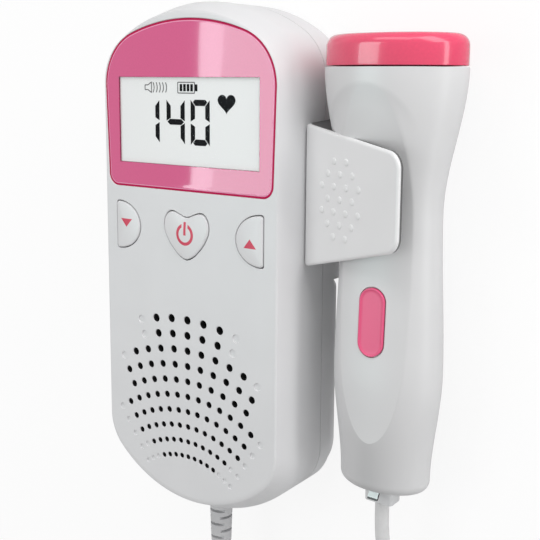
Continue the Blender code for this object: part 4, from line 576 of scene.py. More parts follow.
def segments(left, low, width, height, lit):
    """The lit bars of a seven-segment digit: upright bars with slanted ends, and six-sided level bars."""
    w, h, m, t = width, height, height / 2, STROKE
    right_high = np.array([(w - t, h - 1.15 * t), (w, h - 0.1 * t), (w, m + 0.18 * t), (w - t, m + 0.72 * t)])
    top = np.array([(0.55 * t, h - 0.45 * t), (1.0 * t, h), (w - 1.0 * t, h), (w - 0.55 * t, h - 0.45 * t),
                    (w - 1.15 * t, h - 1.1 * t), (1.15 * t, h - 1.1 * t)])
    middle = np.array([(0.2 * t, m), (0.85 * t, m + 0.52 * t), (w - 0.85 * t, m + 0.52 * t), (w - 0.2 * t, m),
                       (w - 0.85 * t, m - 0.52 * t), (0.85 * t, m - 0.52 * t)])
    across, over = np.array((-1, 1)), np.array((1, -1))
    bars = {"b": right_high, "c": right_high * over + (0, h), "f": right_high * across + (w, 0),
            "e": (w, h) - right_high, "a": top, "d": top * over + (0, h), "g": middle}
    return [plate(bars[name] + (left, low)) for name in lit]


def strip(points, width):
    """A flat line of even width along points: each point stepped to both sides along its normal."""
    points = np.asarray(points, float)
    along = np.gradient(points, axis=0)
    normal = np.column_stack([-along[:, 1], along[:, 0]]) / np.linalg.norm(along, axis=1)[:, None]
    return plate(np.vstack([points + normal * width / 2, (points - normal * width / 2)[::-1]]))


def heart_sign(x, y, half, height):
    """A heart on its tip: x is the cube of the sine, y a sum of four cosines, scaled to its half-width and height."""
    t = np.linspace(0, 2 * math.pi, 48, endpoint=False)
    up = 13 * np.cos(t) - 5 * np.cos(2 * t) - 2 * np.cos(3 * t) - np.cos(4 * t)
    return np.column_stack([x + half * np.sin(t) ** 3, y + height * (up + 17) / 29])


digits = (segments(-14.85, 32.1, 6.0, 11.1, "bc") + segments(-6.35, 32.0, 6.15, 11.3, "fgbc")
          + segments(1.8, 31.9, 6.2, 11.5, "abcdef"))
digits.append(plate(heart_sign(13.35, 40.0, 2.78, 4.75)))
digits += [plate([(x, 45.45), (x + 0.82, 45.45), (x + 0.82, 47.25), (x, 47.25)]) for x in (-1.8, -0.62, 0.56, 1.74)]
digits.append(plate([(3.25, 45.5), (4.05, 45.5), (4.05, 47.2), (3.25, 47.2)]))
add_piece("display_digits", digits, speckled("segments_dark", (0.004, 0.004, 0.005), (0.010, 0.010, 0.012), 3000.0,
                                             roughness=0.6, specular_ior_level=0.05), "unit", "lcd")

battery_sign = [(-2.45, 45.0), (3.1, 45.0), (3.1, 47.7), (-2.45, 47.7)]
speaker_sign = [(-13.8, 45.75), (-12.8, 45.75), (-11.5, 45.0), (-11.5, 47.7), (-12.8, 46.95), (-13.8, 46.95)]
lines = [strip([a, b], 0.24) for sign in (battery_sign, speaker_sign) for a, b in zip(sign, sign[1:] + sign[:1])]
lines += [strip(arc(-13.0 + 1.08 * i, 46.35, 2.4, -0.55, 0.55, 10), 0.26) for i in range(5)]
add_piece("display_lines", lines, speckled("segments_grey", (0.16, 0.16, 0.165), (0.20, 0.20, 0.205), 3000.0,
                                           roughness=0.6, specular_ior_level=0.05), "unit", "lcd")


# Circuit board and switches
# A green board behind the display, with three tact switches whose black plungers the buttons press.

board_look, shader, place = finish("solder_mask", roughness=0.35)
tracks = place.node("TexVoronoi", {"feature": "DISTANCE_TO_EDGE"}, {"Vector": place, "Scale": 260.0}) < 0.06
feed(shader, "Base Color", tracks.blend((0.015, 0.13, 0.055), (0.03, 0.22, 0.09)))
feed(shader, "Roughness", 0.3 + 0.15 * tracks)
dress(board_look, "main_board", "probe_board")
black_look = moulded("black_moulded", (0.025, 0.025, 0.028), 0.5, 0.2, 0.01, 0.15)
dress(black_look, "probe_jack")
for key in ("power", "down", "up"):
    dress(black_look, f"{key}_switch", f"{key}_plunger")


# Buttons
# Three caps of the case's own white ABS, nearly flush with the face: a heart in the middle and a D at each side.
# Their signs are pad printed in pink.

SIGN_PINK = (0.62, 0.0, 0.055)
BUTTON_WALL_TOP = 27.95
BUTTON_SHOULDER = 0.38
BUTTON_TOP = 28.62
SIGN_LOW_Z = 28.25
PRINT_EDGE = 0.05
FLANGE_LOW = 23.9
FLANGE_TOP = 24.9


def signed_plastic(name, sign):
    """White moulded plastic with a printed sign where the given mask of x and y, in millimetres, is 1."""
    look = moulded(name, WHITE, 0.40)
    shader, place, ground = reopened(look)
    x, y, z = place.split()
    feed(shader, "Base Color", (sign(x, y) * z.step(SIGN_LOW_Z, SIGN_LOW_Z + 0.05)).blend(ground, SIGN_PINK))
    return look


def printed(inside):
    """1 where a distance inside a shape's edge is above 0, with a slightly soft edge."""
    return inside.step(-PRINT_EDGE, PRINT_EDGE)


def power_sign(x, y):
    """A ring open at the top, and a bar through the opening."""
    u, v = x + 0.10, y - 8.75
    far = (u * u + v * v).math("SQRT")
    opening = printed(1.0 - abs(u)) * v.step(0.2, 0.3)
    ring = printed(0.42 - abs(far - 2.45)) * (1 - opening)
    bar = printed(0.4 - abs(u)) * printed(1.75 - abs(v - 1.55))
    return ring.math("MAXIMUM", bar)


def triangle_sign(centre_x, centre_y, half, height, way):
    """A triangle with a level side: the smallest distance to its three sides."""
    def sign(x, y):
        v = way * (y - centre_y) + height / 2
        slope = half / height
        sides = (half - slope * v - abs(x - centre_x)) / math.hypot(1, slope)
        return printed(sides.math("MINIMUM", v))
    return sign


def button(outline, centre):
    """A cap: its flange, upright walls, a rounded shoulder, and a top that domes as a parabola."""
    rings = stack(outline, [(0.9, FLANGE_LOW), (0.9, FLANGE_TOP), (0, FLANGE_TOP),
                            *quarter(0, BUTTON_WALL_TOP, -BUTTON_SHOULDER, BUTTON_SHOULDER, 5)])
    edge = outline(-BUTTON_SHOULDER)
    low = BUTTON_WALL_TOP + BUTTON_SHOULDER
    for k in (0.9, 0.75, 0.55, 0.35, 0.15):
        rings.append(at_z(np.array(centre) + k * (edge - centre), low + (BUTTON_TOP - low) * (1 - k * k)))
    return loft(rings)


for name, outline, centre, stem, sign in (
        ("power", heart_outline, (0, 8.6), (0, 8.3), power_sign),
        ("down", lambda g: side_outline(-1, g), (-20.9, 9.3), (-20.5, 9.3),
         triangle_sign(-20.85, 9.95, 2.05, 2.25, -1)),
        ("up", lambda g: side_outline(1, g), (20.9, 9.3), (20.5, 9.3), triangle_sign(21.0, 8.6, 1.92, 2.35, 1))):
    parts = [button(outline, centre), turned((*stem, FLANGE_LOW - 0.3), ((0, 1.6), (0.4, 1.6)), 24)]
    shade(add_piece(f"{name}_cap", parts, signed_plastic(f"{name}_plastic", sign), f"{name}_key", "white_plastic",
                    f"{name}_button"), 50)


# Batteries and their contacts
# Two AA cells in printed sleeves, head to tail, between plated spring plates.

CELL_MIDDLE_Y = -33.2
SLEEVE_HALF = 23.9
SLEEVE_GREEN_HALF = 14.0

sleeve, shader, place = finish("cell_sleeve", roughness=0.28, coat_weight=0.6)
from_middle = abs(place.split()[1] - CELL_MIDDLE_Y)
bare = from_middle > SLEEVE_HALF
silver = (from_middle > SLEEVE_GREEN_HALF) * (from_middle < SLEEVE_HALF)
feed(shader, "Base Color", silver.blend(bare.blend((0.035, 0.10, 0.07), (0.55, 0.55, 0.56)), (0.42, 0.44, 0.44)))
feed(shader, "Metallic", bare)
feed(shader, "Roughness", 0.22 + 0.12 * place.noise(900.0, 3.0))
dress(sleeve, "battery_cell_1", "battery_cell_2")
for group, count in (("battery_contact_top", 2), ("battery_contact_low", 2), ("case_screws", 4), ("holder_screws", 2),
                     ("probe_screws", 2)):
    dress(nickel, *[f"{group}_{i + 1}" for i in range(count)])


# Probe holder
# A clip of the case's white ABS, screwed to its side: a slanting front arm with rows of small raised dots, a
# root with a round passage for the probe, and a rear arm under it.

CLIP_ROOT_X = 30.6
CLIP_FREE_X = 62.2
ARM_ENDS_Z = (18.8, 30.0)
LOW_ENDS_Y = (2.6, 11.2)
HIGH_ENDS_Y = (38.1, 32.8)
DOT_ROWS = (2, 3, 4, 3, 4, 3, 2)
DOT_MIDDLE = (43.3, 20.7)
DOT_PITCH = (4.2, -3.0)
PASSAGE_X = 36.0
PASSAGE_HALF = (14.3, 10.7)
PROBE_X = 51.85
PROBE_Z = 13.4


def clip_line(x, ends):
    """A straight line along the clip, between its values at the root and at the free end."""
    return ends[0] + (x - CLIP_ROOT_X) * (ends[1] - ends[0]) / (CLIP_FREE_X - CLIP_ROOT_X)


def arm_z(x):
    """Height of the front arm's outer plane."""
    return clip_line(x, ARM_ENDS_Z)


def rounded_polygon(corners, radii, inset=0.0, steps=12):
    """A convex polygon, anticlockwise, with its sides moved in and each corner an arc tangent to its sides."""
    corners = np.asarray(corners, float)
    side = np.roll(corners, -1, axis=0) - corners
    side /= np.linalg.norm(side, axis=1)[:, None]
    inward = np.column_stack([-side[:, 1], side[:, 0]])
    rows = []
    for i, radius in enumerate(radii):
        radius = max(radius - inset, 0.02)
        a, b = inward[i - 1], inward[i]
        reach = inset + radius
        centre = corners[i] + (a + b) * reach / (1 + a @ b)
        start, end = math.atan2(-a[1], -a[0]), math.atan2(-b[1], -b[0])
        rows.append(arc(*centre, radius, start, start + (end - start) % (2 * math.pi), steps))
    return np.vstack(rows)


def pillow(corners, radii, profile, height):
    """A plate with rounded edges: each (inset, drop) pair makes a ring that far in and below the height function."""
    rings = []
    for inset, drop in profile:
        outline = rounded_polygon(corners, radii, inset)
        rings.append(np.column_stack([outline, height(outline[:, 0]) - drop]))
    return loft(rings)


def clip_root():
    """The root: the section left of the passage's ellipse, carried between the two slanting ends.

    The passage widens towards the probe's head, and flares by the square of the depth at both mouths. Behind,
    the upper end reaches a little further.
    """
    fi = np.linspace(math.radians(-78), math.radians(44), 40)
    bow = (PROBE_X, PROBE_Z) + PASSAGE_HALF * np.column_stack([-np.cos(fi), np.sin(fi)])
    section = np.vstack([softened([(40.0, 19.4), (CLIP_ROOT_X, 16.9), (CLIP_ROOT_X, 4.6), (33.5, 0.5), (48.5, 0.5)],
                                  (0.3, 1.2, 1.2), 5)[1:], bow])
    x, z = section.T
    in_passage = np.clip((x - PASSAGE_X) / 3, 0, 1) * (z > 2)
    low, high = clip_line(x, LOW_ENDS_Y), clip_line(x, HIGH_ENDS_Y)
    rings = []
    for share in np.linspace(0, 1, 40):
        y = low * (1 - share) + high * share + 1.1 * share ** 8 * (1 - z / 17)
        widen = np.interp(y, (18, 27, 38), (0, 0.1, 1.6))
        flare = 1.4 * np.clip(1 - (high - y) / 2.2, 0, 1) ** 2
        flare += 0.8 * np.clip(1 - (y - low) / 2.2, 0, 1) ** 2
        rings.append(np.column_stack([x - (widen + flare) * in_passage, y, z]))
    return loft(rings)


plan = [(CLIP_ROOT_X, LOW_ENDS_Y[0]), (CLIP_FREE_X, LOW_ENDS_Y[1]), (CLIP_FREE_X, HIGH_ENDS_Y[1]),
        (CLIP_ROOT_X, HIGH_ENDS_Y[0])]
arm_profile = [(3.0, 0.0), (1.3, 0.0), *quarter(0.0, 0.8, 0.8, -0.8, 7)[::-1], (0.0, 1.0), (0.0, 1.9), (0.25, 2.1),
               (1.1, 2.1)]
rear_plan = [(33.0, 3.3), (56.3, 9.6), (56.3, 33.8), (33.0, 37.7)]
rear_profile = [(0.8, 0.0), (0.25, 0.15), (0.0, 0.7), (0.0, 1.9), (0.25, 2.45), (0.8, 2.6)]
holder_parts = [pillow(plan, (0.9, 4.0, 4.0, 0.9), arm_profile, arm_z), clip_root(),
                pillow(rear_plan, (0.5, 2.5, 2.5, 0.5), rear_profile, lambda x: 2.9 + 0 * x)]
dome = [(-0.5, 0.86), (0.05, 0.86), (0.14, 0.78), (0.20, 0.62), (0.23, 0.38), (0.24, 0.12)]
arm_normal = (ARM_ENDS_Z[0] - ARM_ENDS_Z[1], 0, CLIP_FREE_X - CLIP_ROOT_X)
for row, count in enumerate(DOT_ROWS):
    for i in range(count):
        x = DOT_MIDDLE[0] + (i - (count - 1) / 2) * DOT_PITCH[0]
        y = DOT_MIDDLE[1] + (row - 3) * DOT_PITCH[1]
        holder_parts.append(turned((x, y, arm_z(x)), dome, 16, arm_normal))
# The clip is the case's white ABS, but it is painted lighter here (0.88 against 0.79) to make up for the shade that
# falls on it beside the unit.
holder = add_piece("side_clip", holder_parts, moulded("clip_white_painted_lighter", (0.88, 0.88, 0.885), 0.42), "unit",
                   "white_plastic", "probe_holder")
# The arm's undercut edges and the passage near the upper mouth are painted dark grey: painted shade of the gap
# between clip and probe.
(x, y, z), normal = faces_of(holder)
under = arm_z(x) - z
at_mouth = (z > 8) & (np.abs(clip_line(x, HIGH_ENDS_Y) - y) < 3)
in_shade = (x > PASSAGE_X) & (under > 1.02) & ((under < 2.3) | at_mouth)
paint(holder, in_shade, moulded("clip_gap_painted_shade", (0.14, 0.14, 0.142), 0.7, 0.3, 0.01, 0.2))
shade(holder, 42)


# Probe
# A waisted hand piece of satin white ABS in two halves. Its front is flattened inside a long oval, where the
# fingers go, and screws close its back.

TAIL_Y = -47.8
END_Y = -50.3
BADGE_Y = -7.6
PROBE_PARTING_Z = 8.9
OVAL_Y = 5.4
OVAL_HALF_LENGTH = 42.7
OVAL_HALF_WIDTH = 9.1
OVAL_POWER = 3.4
FLAT_SHARE = 0.45
FLATNESS = 0.74
PROBE_WALL = 1.8
TAIL_BEND = 2.5
BADGE_HALF_WIDTH = 3.3
BADGE_HALF_LENGTH = 8.2
HEAD_HALF_WIDTH = 17.55
HEAD_HALF_DEPTH = 13.075
TAIL_HALF_WIDTH = 11.6
STATIONS = ((51.5, HEAD_HALF_WIDTH), (18.0, 12.6), (-21.2, 13.9), (TAIL_Y, TAIL_HALF_WIDTH))
PROBE_SCREW_Y = (-8.0, 30.0)


def eased(share):
    return share * share * (3 - 2 * share)


def probe_half_width(y):
    """Half-width at each height: level-ended cubic curves through head, waist, grip and tail."""
    y = np.asarray(y, float)
    width = np.where(y >= STATIONS[0][0], HEAD_HALF_WIDTH, TAIL_HALF_WIDTH)
    for (high, a), (low, b) in zip(STATIONS, STATIONS[1:]):
        share = np.clip((high - y) / (high - low), 0, 1)
        width = np.where((y < high) & (y >= low), a + (b - a) * eased(share), width)
    return width


def probe_half_depth(y):
    """Half-depth at each height: a share of the half-width, a little rounder at the head."""
    share = FLATNESS + 0.005 * eased(np.clip((np.asarray(y, float) - 18.0) / 33.5, 0, 1))
    return probe_half_width(y) * share


def oval_half_width(y):
    """Half the width of the flattened oval: a root of one less a power of the distance from its middle."""
    share = 1 - np.abs((np.asarray(y, float) - OVAL_Y) / OVAL_HALF_LENGTH) ** OVAL_POWER
    return OVAL_HALF_WIDTH * np.sqrt(np.clip(share, 0.0, 1))


def half_shell(front):
    """The outer skin of one half of the probe, as a grid of a sweep angle and a distance along the probe.

    At each height the section is an ellipse, cut at the parting line. In front, what stands above the oval's
    edge is pressed to a share of its height. Beyond the tail the section shrinks as a quarter circle, and then
    closes on the parting line.
    """
    y = np.concatenate([np.linspace(51.5, 40, 40), np.linspace(40, -30, 110)[1:], np.linspace(-30, TAIL_Y, 50)[1:]])
    bend = np.linspace(0, math.pi / 2, 9)[1:]
    shrink = TAIL_BEND * (1 - np.cos(bend))
    width = np.concatenate([probe_half_width(y), TAIL_HALF_WIDTH - shrink])
    depth = np.concatenate([probe_half_depth(y), TAIL_HALF_WIDTH * FLATNESS - shrink])
    oval = np.concatenate([oval_half_width(y), np.zeros(8)])
    y = np.concatenate([y, TAIL_Y - TAIL_BEND * np.sin(bend)])
    width, depth, oval, y = (v[:, None] for v in (width, depth, np.maximum(oval, 0.03), y))
    cut = PROBE_PARTING_Z - (0.0 if front else GAP) - PROBE_Z
    low = np.arcsin(np.clip(cut / depth, -1, 1))
    if front:
        edge = np.arccos(np.clip(oval / width, -1, 1))
        side = low + (edge - low) * np.linspace(0, 1, 33)
        top = edge + (math.pi - 2 * edge) * np.linspace(0, 1, 49)[1:-1]
        angle = np.hstack([side, top, math.pi - side[:, ::-1]])
    else:
        angle = low - (math.pi + 2 * low) * np.linspace(0, 1, 81)
    x, z = width * np.cos(angle), depth * np.sin(angle)
    if front:
        flat = depth * np.sqrt(1 - np.clip(oval / width, 0, 1) ** 2)
        z = np.where(z > flat, flat + FLAT_SHARE * (z - flat), z)
    skin = np.stack([PROBE_X + x, np.broadcast_to(y, x.shape), PROBE_Z + z], axis=-1)
    centre = np.array((PROBE_X, END_Y, PROBE_Z + cut))
    closing = [centre + k * (skin[-1] - centre) for k in (0.75, 0.5, 0.25, 0.02)]
    return np.concatenate([skin, np.array(closing)])


def sheet(grid):
    """Quads over a grid of points."""
    rows, columns = grid.shape[:2]
    index = np.arange(rows * columns).reshape(rows, columns)
    quads = np.stack([index[:-1, :-1], index[:-1, 1:], index[1:, 1:], index[1:, :-1]], axis=-1)
    return grid.reshape(-1, 3), quads.reshape(-1, 4).tolist()


def thicken(piece):
    """Gives an open skin its wall on the inside, whichever way its faces came to point."""
    (x, y, z), normal = faces_of(piece)
    if np.sum((x - PROBE_X) * normal[0] + (z - PROBE_Z) * normal[2]) < 0:
        piece.data.flip_normals()
    change = piece.modifiers.new("wall", "SOLIDIFY")
    change.thickness = PROBE_WALL * MM
    change.offset = -1
    baked(piece)


def front_z(y):
    """Height of the middle of the flattened front."""
    depth = probe_half_depth(y)
    flat = depth * np.sqrt(1 - (oval_half_width(y) / probe_half_width(y)) ** 2)
    return PROBE_Z + flat + FLAT_SHARE * (depth - flat)


def badge_outline(grow, lift):
    """The badge's capsule laid on the slope of the probe's front."""
    top = arc(0, BADGE_HALF_LENGTH - BADGE_HALF_WIDTH, BADGE_HALF_WIDTH + grow, 0, math.pi, 24)
    outline = np.vstack([top, -top])
    low, high = front_z(BADGE_Y - BADGE_HALF_LENGTH), front_z(BADGE_Y + BADGE_HALF_LENGTH)
    z = low + (high - low) * (outline[:, 1] / BADGE_HALF_LENGTH + 1) / 2
    return np.column_stack([PROBE_X + outline[:, 0], BADGE_Y + outline[:, 1], z + lift])


white_probe = moulded("white_probe", (0.74, 0.74, 0.745), 0.36, 0.2, 0.008)
shader, place, ground = reopened(white_probe)
x, y, _ = place.split()
side = abs(x - PROBE_X)
share = 1 - abs((y - OVAL_Y) / OVAL_HALF_LENGTH).math("POWER", OVAL_POWER)
half = OVAL_HALF_WIDTH * share.math("MAXIMUM", 0.0).math("SQRT")
tail = (side - half + 0.2).step(-0.1, 0.1) * (-y).step(14.0, 46.0) * side.step(12.0, 1.0)  # painted shade outside the oval, deeper towards the tail and towards the middle
over, up = x - PROBE_X + 1.5, y - 36.0
inward = 12.0 - (over * over + up * up).math("SQRT")  # painted shade in a soft band under a circle's upper edge, at the head
painted_brow_shade = inward.step(5.0, 0.0) * inward.step(-0.6, 0.6) * up.step(1.0, 8.0)
# Where these masks are 1, the probe's white is painted darker grey as shade.
feed(shader, "Base Color", (tail + 0.4 * painted_brow_shade).blend(ground, (0.54, 0.54, 0.545)))

shell = add_piece("probe_front", [sheet(half_shell(True))], white_probe, "probe", "probe_plastic", "probe_shell")
thicken(shell)
carve(shell, [loft([badge_outline(0.3, -0.7), badge_outline(0.3, 0.0), badge_outline(0.36, 4)])])
for half, low, high in ((4.1, 11.5, 16.9), (1.9, 16.4, 18.7)):
    carve(shell, [block((PROBE_X - half, -56, low), (PROBE_X + half, TAIL_Y + 0.4, high))])
shade(shell, 40)
cover = add_piece("probe_back", [sheet(half_shell(False))], white_probe, "probe", "probe_plastic", "probe_back_cover")
thicken(cover)
places = [(PROBE_X, y, PROBE_Z - float(probe_half_depth(y))) for y in PROBE_SCREW_Y]
carve(cover, [turned(place, ((0.3, 3.6), (PROBE_PARTING_Z - GAP - place[2], 3.6))) for place in places], "UNION")
carve(cover, [screw_hole(place, 2.3) for place in places])
shade(cover, 40)


# Transducer cap and badge
# The cap over the two ceramic elements and the badge on the front are moulded in a clear pink polymer with a
# mirror gloss. The badge has a raised rim round a bare field.

PINK_GLOSS = (0.88, 0.055, 0.15)

polymer, shader, place = finish("pink_polymer", roughness=0.22, coat_weight=1.0, coat_roughness=0.02, coat_ior=1.34)
darker = tuple(0.94 * c for c in PINK_GLOSS)
feed(shader, "Base Color", place.noise(1800.0).step(0.25, 0.75).blend(darker, PINK_GLOSS))
ripple = {"Height": place.noise(90.0, 1.0), "Distance": 0.05 * MM, "Strength": 0.25}
feed(shader, "Normal", place.node("Bump", {}, ripple))
turn = np.linspace(0, 2 * math.pi, 160, endpoint=False)


def cap_ring(inset, y):
    """The head's ellipse, drawn in, at one distance along the probe."""
    return np.column_stack([PROBE_X + (HEAD_HALF_WIDTH - inset) * np.cos(turn), np.full(len(turn), y),
                            PROBE_Z + (HEAD_HALF_DEPTH - inset) * np.sin(turn)])


cap_profile = [(3.2, 57.6), (1.8, 56.5), (1.8, 51.8), (0.5, 51.8), (0.26, 51.88), (0.2, 52.05),
               *quarter(0.2, 56.3, 2.7, 2.72, 13)]
cap_outline = [cap_ring(inset, y) for inset, y in cap_profile]
rim = cap_outline[-1]
for k in (0.85, 0.65, 0.45, 0.25, 0.08):
    crown = (PROBE_X, 0, PROBE_Z) + k * (rim - (PROBE_X, 0, PROBE_Z))
    crown[:, 1] = 59.02 + 0.28 * (1 - k * k)
    cap_outline.append(crown)
shade(add_piece("transducer_cover", [loft(cap_outline)], polymer, "probe", "pink_gloss", "transducer_cap"), 50)

badge_profile = [(0.0, -0.4), (0.0, 0.22), (-0.06, 0.34), (-0.2, 0.4), (-0.38, 0.36), (-0.5, 0.22), (-0.62, 0.16),
                 (-1.2, 0.17)]
satin = moulded("pink_satin", (0.86, 0.105, 0.25), 0.42, 0.15, 0.006)
shade(add_piece("badge", [loft([badge_outline(grow, lift) for grow, lift in badge_profile])], satin, "probe",
                "pink_gloss", "probe_badge"), 60)

dress(speckled("fired_ceramic", (0.50, 0.45, 0.37), (0.60, 0.55, 0.47), 1500.0, detail=4.0, roughness=0.6),
      "transducer_front", "transducer_rear")


# Plug
# A clear modular plug with a sprung latch, clicked into the probe's lower end.

PLUG_CORNER = 0.35
PLUG_Z = (11.8, 16.6)

low, high = END_Y - 4.5, END_Y + 8
left, right = PROBE_X - 3.8, PROBE_X + 3.8
corners = [(left, PLUG_Z[0]), (right, PLUG_Z[0]), (right, PLUG_Z[1]), (left, PLUG_Z[1])]
plug_rings = []
for share, y in ((1, low), (0.3, low + 0.3 * PLUG_CORNER), (0, low + PLUG_CORNER), (0, high - PLUG_CORNER),
                 (0.3, high - 0.3 * PLUG_CORNER), (1, high)):
    outline = rounded_polygon(corners, [2 * PLUG_CORNER] * 4, share * PLUG_CORNER, 5)
    plug_rings.append(np.column_stack([outline[:, 0], np.full(len(outline), y), outline[:, 1]]))
latch_side = [(7.1, 16.2), (7.1, 17.0), (3.2, 17.75), (-0.2, 18.4), (-1.95, 19.35), (-2.4, 19.55), (-2.45, 19.0),
              (-0.3, 17.6), (3.2, 16.9), (5.3, 16.2)]
latch = loft([np.array([(PROBE_X + x, END_Y + y, z) for y, z in latch_side]) for x in (-1.35, 1.35)])
plug_look = speckled("plug_polycarbonate", (0.74, 0.75, 0.76), (0.82, 0.83, 0.84), 300.0, roughness=0.12,
                     coat_weight=0.6)
plug = add_piece("modular_plug", [loft(plug_rings), latch], plug_look, "probe", "plug_plastic", "probe_plug")
shade(plug, 40)
(x, y, z), normal = faces_of(plug)
# The latch's free end and its side face above the plug are painted near black: painted shade of the gap round the
# latch.
paint(plug, (z > 17) & ((y < END_Y - 2.0) | (normal[0] > 0.9)),
      speckled("plug_latch_painted_shade", (0.05, 0.05, 0.052), (0.08, 0.08, 0.082), 900.0, roughness=0.5))


# Lead
# A round white PVC lead. It leaves the unit through a slotted rubber boot, is wound into a coil under a tie for
# storage, and ends in the plug. The photograph's frame shows only its two ends.

CORD_RADIUS = 1.8
COIL_X = 27.35
COIL_Y = -122.0
COIL_RADIUS = 24.5
COIL_PITCH = 4.1
COIL_TURNS = 6.5
COIL_LOW_Z = 2.7
COIL_HIGH_Z = 6.8
BOOT_Y = -64.14
SLOT_REACH = 7.3


def coil_line():
    """The coil's centre line: two spirals, inwards below and outwards above, with an eased climb between them."""
    turn = np.arange(24 * COIL_TURNS + 1) / 24
    angle = math.pi + 2 * math.pi * turn
    radius = COIL_RADIUS - COIL_PITCH * (COIL_TURNS / 2 - np.abs(turn - COIL_TURNS / 2))
    z = COIL_LOW_Z + (COIL_HIGH_Z - COIL_LOW_Z) * eased(np.clip((turn - 3.0) / 0.5, 0, 1))
    return np.column_stack([COIL_X + radius * np.cos(angle), COIL_Y + radius * np.sin(angle), z])


def free_run(points, slopes, steps=14):
    """A Hermite curve through points: cubic weights of both ends and of their slopes times the chord."""
    t = np.linspace(0, 1, steps)[:, None]
    rows = []
    for a, b, leave, arrive in zip(points, points[1:], slopes, slopes[1:]):
        reach = np.linalg.norm(b - a)
        rows.append((2 * t ** 3 - 3 * t ** 2 + 1) * a + (t ** 3 - 2 * t ** 2 + t) * reach * leave
                    + (3 * t ** 2 - 2 * t ** 3) * b + (t ** 3 - t ** 2) * reach * arrive)
    return np.vstack(rows)


down = np.array((0, -1, 0.0))
up = np.array((0, 1, 0.0))
coil_left = COIL_X - COIL_RADIUS
lead_line = free_run(np.array([(0, -92.1, LEAD_Z), (coil_left, -114.5, COIL_LOW_Z)]), [down, down])
tail_points = np.array([(PROBE_X, -114.5, COIL_HIGH_Z), (PROBE_X, -96.0, 4.5), (PROBE_X, END_Y - 8.4, 14.2)])
middle_slope = (tail_points[2] - tail_points[0]) / np.linalg.norm(tail_points[2] - tail_points[0])
tail_line = free_run(tail_points, [up, middle_slope, up])
route = np.vstack([[(0, -88.5, LEAD_Z)], lead_line, [(coil_left, -118.4, COIL_LOW_Z)], coil_line()[1:-1],
                   [(PROBE_X, -118.4, COIL_HIGH_Z)], tail_line, [(PROBE_X, END_Y - 4.8, 14.2)]])
route = route[np.concatenate([[True], np.linalg.norm(np.diff(route, axis=0), axis=1) > 0.3])]

jacket, shader, place = finish("cord_jacket", roughness=0.42)
soft = place.noise(500.0, 3.0)
feed(shader, "Base Color", soft.step(0.3, 0.7).blend((0.75, 0.75, 0.75), (0.80, 0.80, 0.80)))
feed(shader, "Roughness", 0.38 + 0.1 * soft)
curve = bpy.data.curves.new("probe_lead", "CURVE")
curve.dimensions = "3D"
curve.bevel_depth = CORD_RADIUS * MM
curve.bevel_resolution = 4
curve.use_fill_caps = True
spline = curve.splines.new("POLY")
spline.points.add(len(route) - 1)
spline.points.foreach_set("co", np.column_stack([route * MM, np.ones(len(route))]).ravel())
spline.use_smooth = True
curve.materials.append(jacket)
cord = placed("probe_lead", curve)
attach(cord, "unit")
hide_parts("cord_lead", "cord_coil", "cord_tail")

boot_profile = [(0, 4.5), (1.2, 4.5), (1.2, 3.3), (4.1, 3.3), (22.6, 2.68), (23.6, 2.55), (24.0, 2.2)]
boot = add_piece("lead_boot", [turned((0, BOOT_Y, LEAD_Z), boot_profile, 48, (0, -1, 0))],
                 moulded("boot_rubber", (0.66, 0.66, 0.67), 0.55, 0.3, 0.01), "unit", "boot_rubber", "cord_boot")
slots = []
for level in range(8):
    high = -69.4 - 2.0 * level
    for near, far in ((1.6, SLOT_REACH), (-SLOT_REACH, -1.6)):
        if level % 2:
            slots.append(block((-SLOT_REACH, high - 0.8, LEAD_Z + near), (SLOT_REACH, high, LEAD_Z + far)))
        else:
            slots.append(block((near, high - 0.8, LEAD_Z - SLOT_REACH), (far, high, LEAD_Z + SLOT_REACH)))
carve(boot, slots)
shade(boot, 40)

dress(moulded("tie_plastic", (0.70, 0.70, 0.70), 0.5, 0.3, 0.01), "cord_tie")


# Floor, lights and camera
# A white floor, soft panels round it, and the photograph's viewpoint. The card over the unit's left and the strip
# beside it are what the window and the pink cap mirror.

FLOOR_WHITE = 0.82
SKY_FILL = 0.46

floor_look = bpy.data.materials.new("floor")
floor_look.use_nodes = True
tree = floor_look.node_tree
tree.nodes.clear()
ray = Socket(tree, tree.nodes.new("ShaderNodeLightPath").outputs["Is Camera Ray"])
paint = ray.node("BsdfDiffuse", {}, {"Color": (0.84, 0.84, 0.84, 1)})
paper_white = ray.node("BsdfDiffuse", {}, {"Color": (1.0, 1.0, 1.0, 1)})
glow = ray.node("Emission", {}, {"Color": (1, 1, 1, 1), "Strength": 1.03})
seen_floor = ray.node("MixShader", {}, {0: FLOOR_WHITE, 1: paper_white, 2: glow})
both = ray.node("MixShader", {}, {0: ray, 1: paint, 2: seen_floor})
out = tree.nodes.new("ShaderNodeOutputMaterial")
tree.links.new(both.output, out.inputs["Surface"])
floor_data = bpy.data.meshes.new("floor")
floor_data.from_pydata([(-3, -3, 0), (3, -3, 0), (3, 3, 0), (-3, 3, 0)], [], [(0, 1, 2, 3)])
floor_data.materials.append(floor_look)
placed("floor", floor_data)

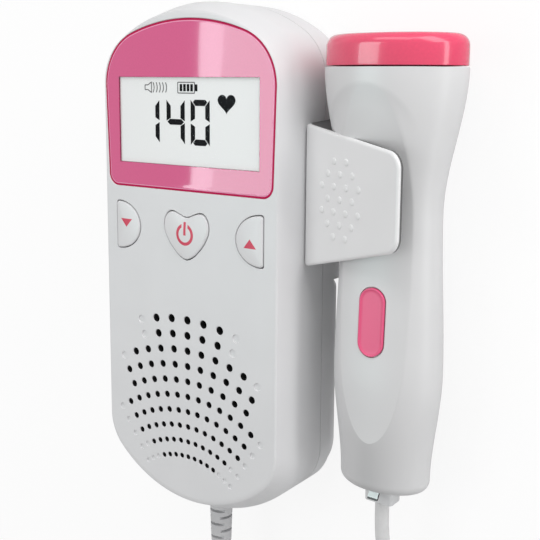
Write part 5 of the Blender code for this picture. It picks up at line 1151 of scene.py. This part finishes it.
world = bpy.data.worlds.new("studio")
bpy.context.scene.world = world
world.use_nodes = True
tree = world.node_tree
tree.nodes.clear()
path = tree.nodes.new("ShaderNodeLightPath")
seen, glossy, through = (Socket(tree, path.outputs[f"Is {kind} Ray"])
                         for kind in ("Camera", "Glossy", "Transmission"))
plain = seen.math("MAXIMUM", glossy.math("MAXIMUM", through))
strength = SKY_FILL + (1 - SKY_FILL) * plain
sky = strength.node("Background", {}, {"Color": (1, 1, 1, 1), "Strength": strength})
out = tree.nodes.new("ShaderNodeOutputWorld")
tree.links.new(sky.output, out.inputs["Surface"])


def panel(name, place, target, size, power, turn=0.0):
    """A soft rectangular lamp that faces a point, turned in degrees about the line to it."""
    light = bpy.data.lights.new(name, "AREA")
    light.shape = "RECTANGLE"
    light.size, light.size_y = size
    light.energy = power
    made = placed(name, light)
    aim = (Vector(target) - Vector(place)).to_track_quat("-Z", "Y").to_matrix().to_4x4()
    made.matrix_world = Matrix.Translation(place) @ aim @ Matrix.Rotation(math.radians(turn), 4, "Z")
    return made


panel("far_end", (0.0, 0.700, 0.500), (0.0, 0.0, 0.020), (0.60, 0.30), 1.3)
panel("far_close", (0.260, 0.270, 0.110), (0.0, 0.0, 0.020), (0.30, 0.16), 0.46)
panel("right_low", (0.700, 0.020, 0.060), (0.0, 0.020, 0.030), (0.60, 0.12), 0.9)
left = panel("left_soft", (-0.250, 0.020, 0.500), (0.0, 0.020, 0.020), (0.30, 0.30), 0.48)
left.visible_glossy = False
card = panel("window_card", (-0.300, 0.050, 0.600), (-0.300, 0.050, 0.0), (0.366, 0.50), 2.2, -5.6)
strip_light = panel("window_strip", (-0.4635, 0.035, 0.599), (-0.4635, 0.035, 0.0), (0.036, 0.50), 0.10, -5.6)
for made, tint in ((card, (0.70, 1.0, 0.97)), (strip_light, (1.0, 0.85, 0.97))):
    made.visible_diffuse = False
    made.data.color = tint

optics = bpy.data.cameras.new("camera")
optics.lens = 61.4
optics.sensor_width = 36.0
optics.shift_y = -0.08
optics.clip_start = 0.01
camera = placed("camera", optics)
axes = Matrix(((0.81075631, 0.00662346, -0.58534634), (-0.09698464, 0.98763678, -0.12315673),
               (0.57729385, 0.1566197, 0.80137512)))
camera.matrix_world = Matrix.Translation(Vector(EYE) * MM) @ axes.transposed().to_4x4()
bpy.context.scene.camera = camera
bpy.context.scene.view_settings.view_transform = "Standard"
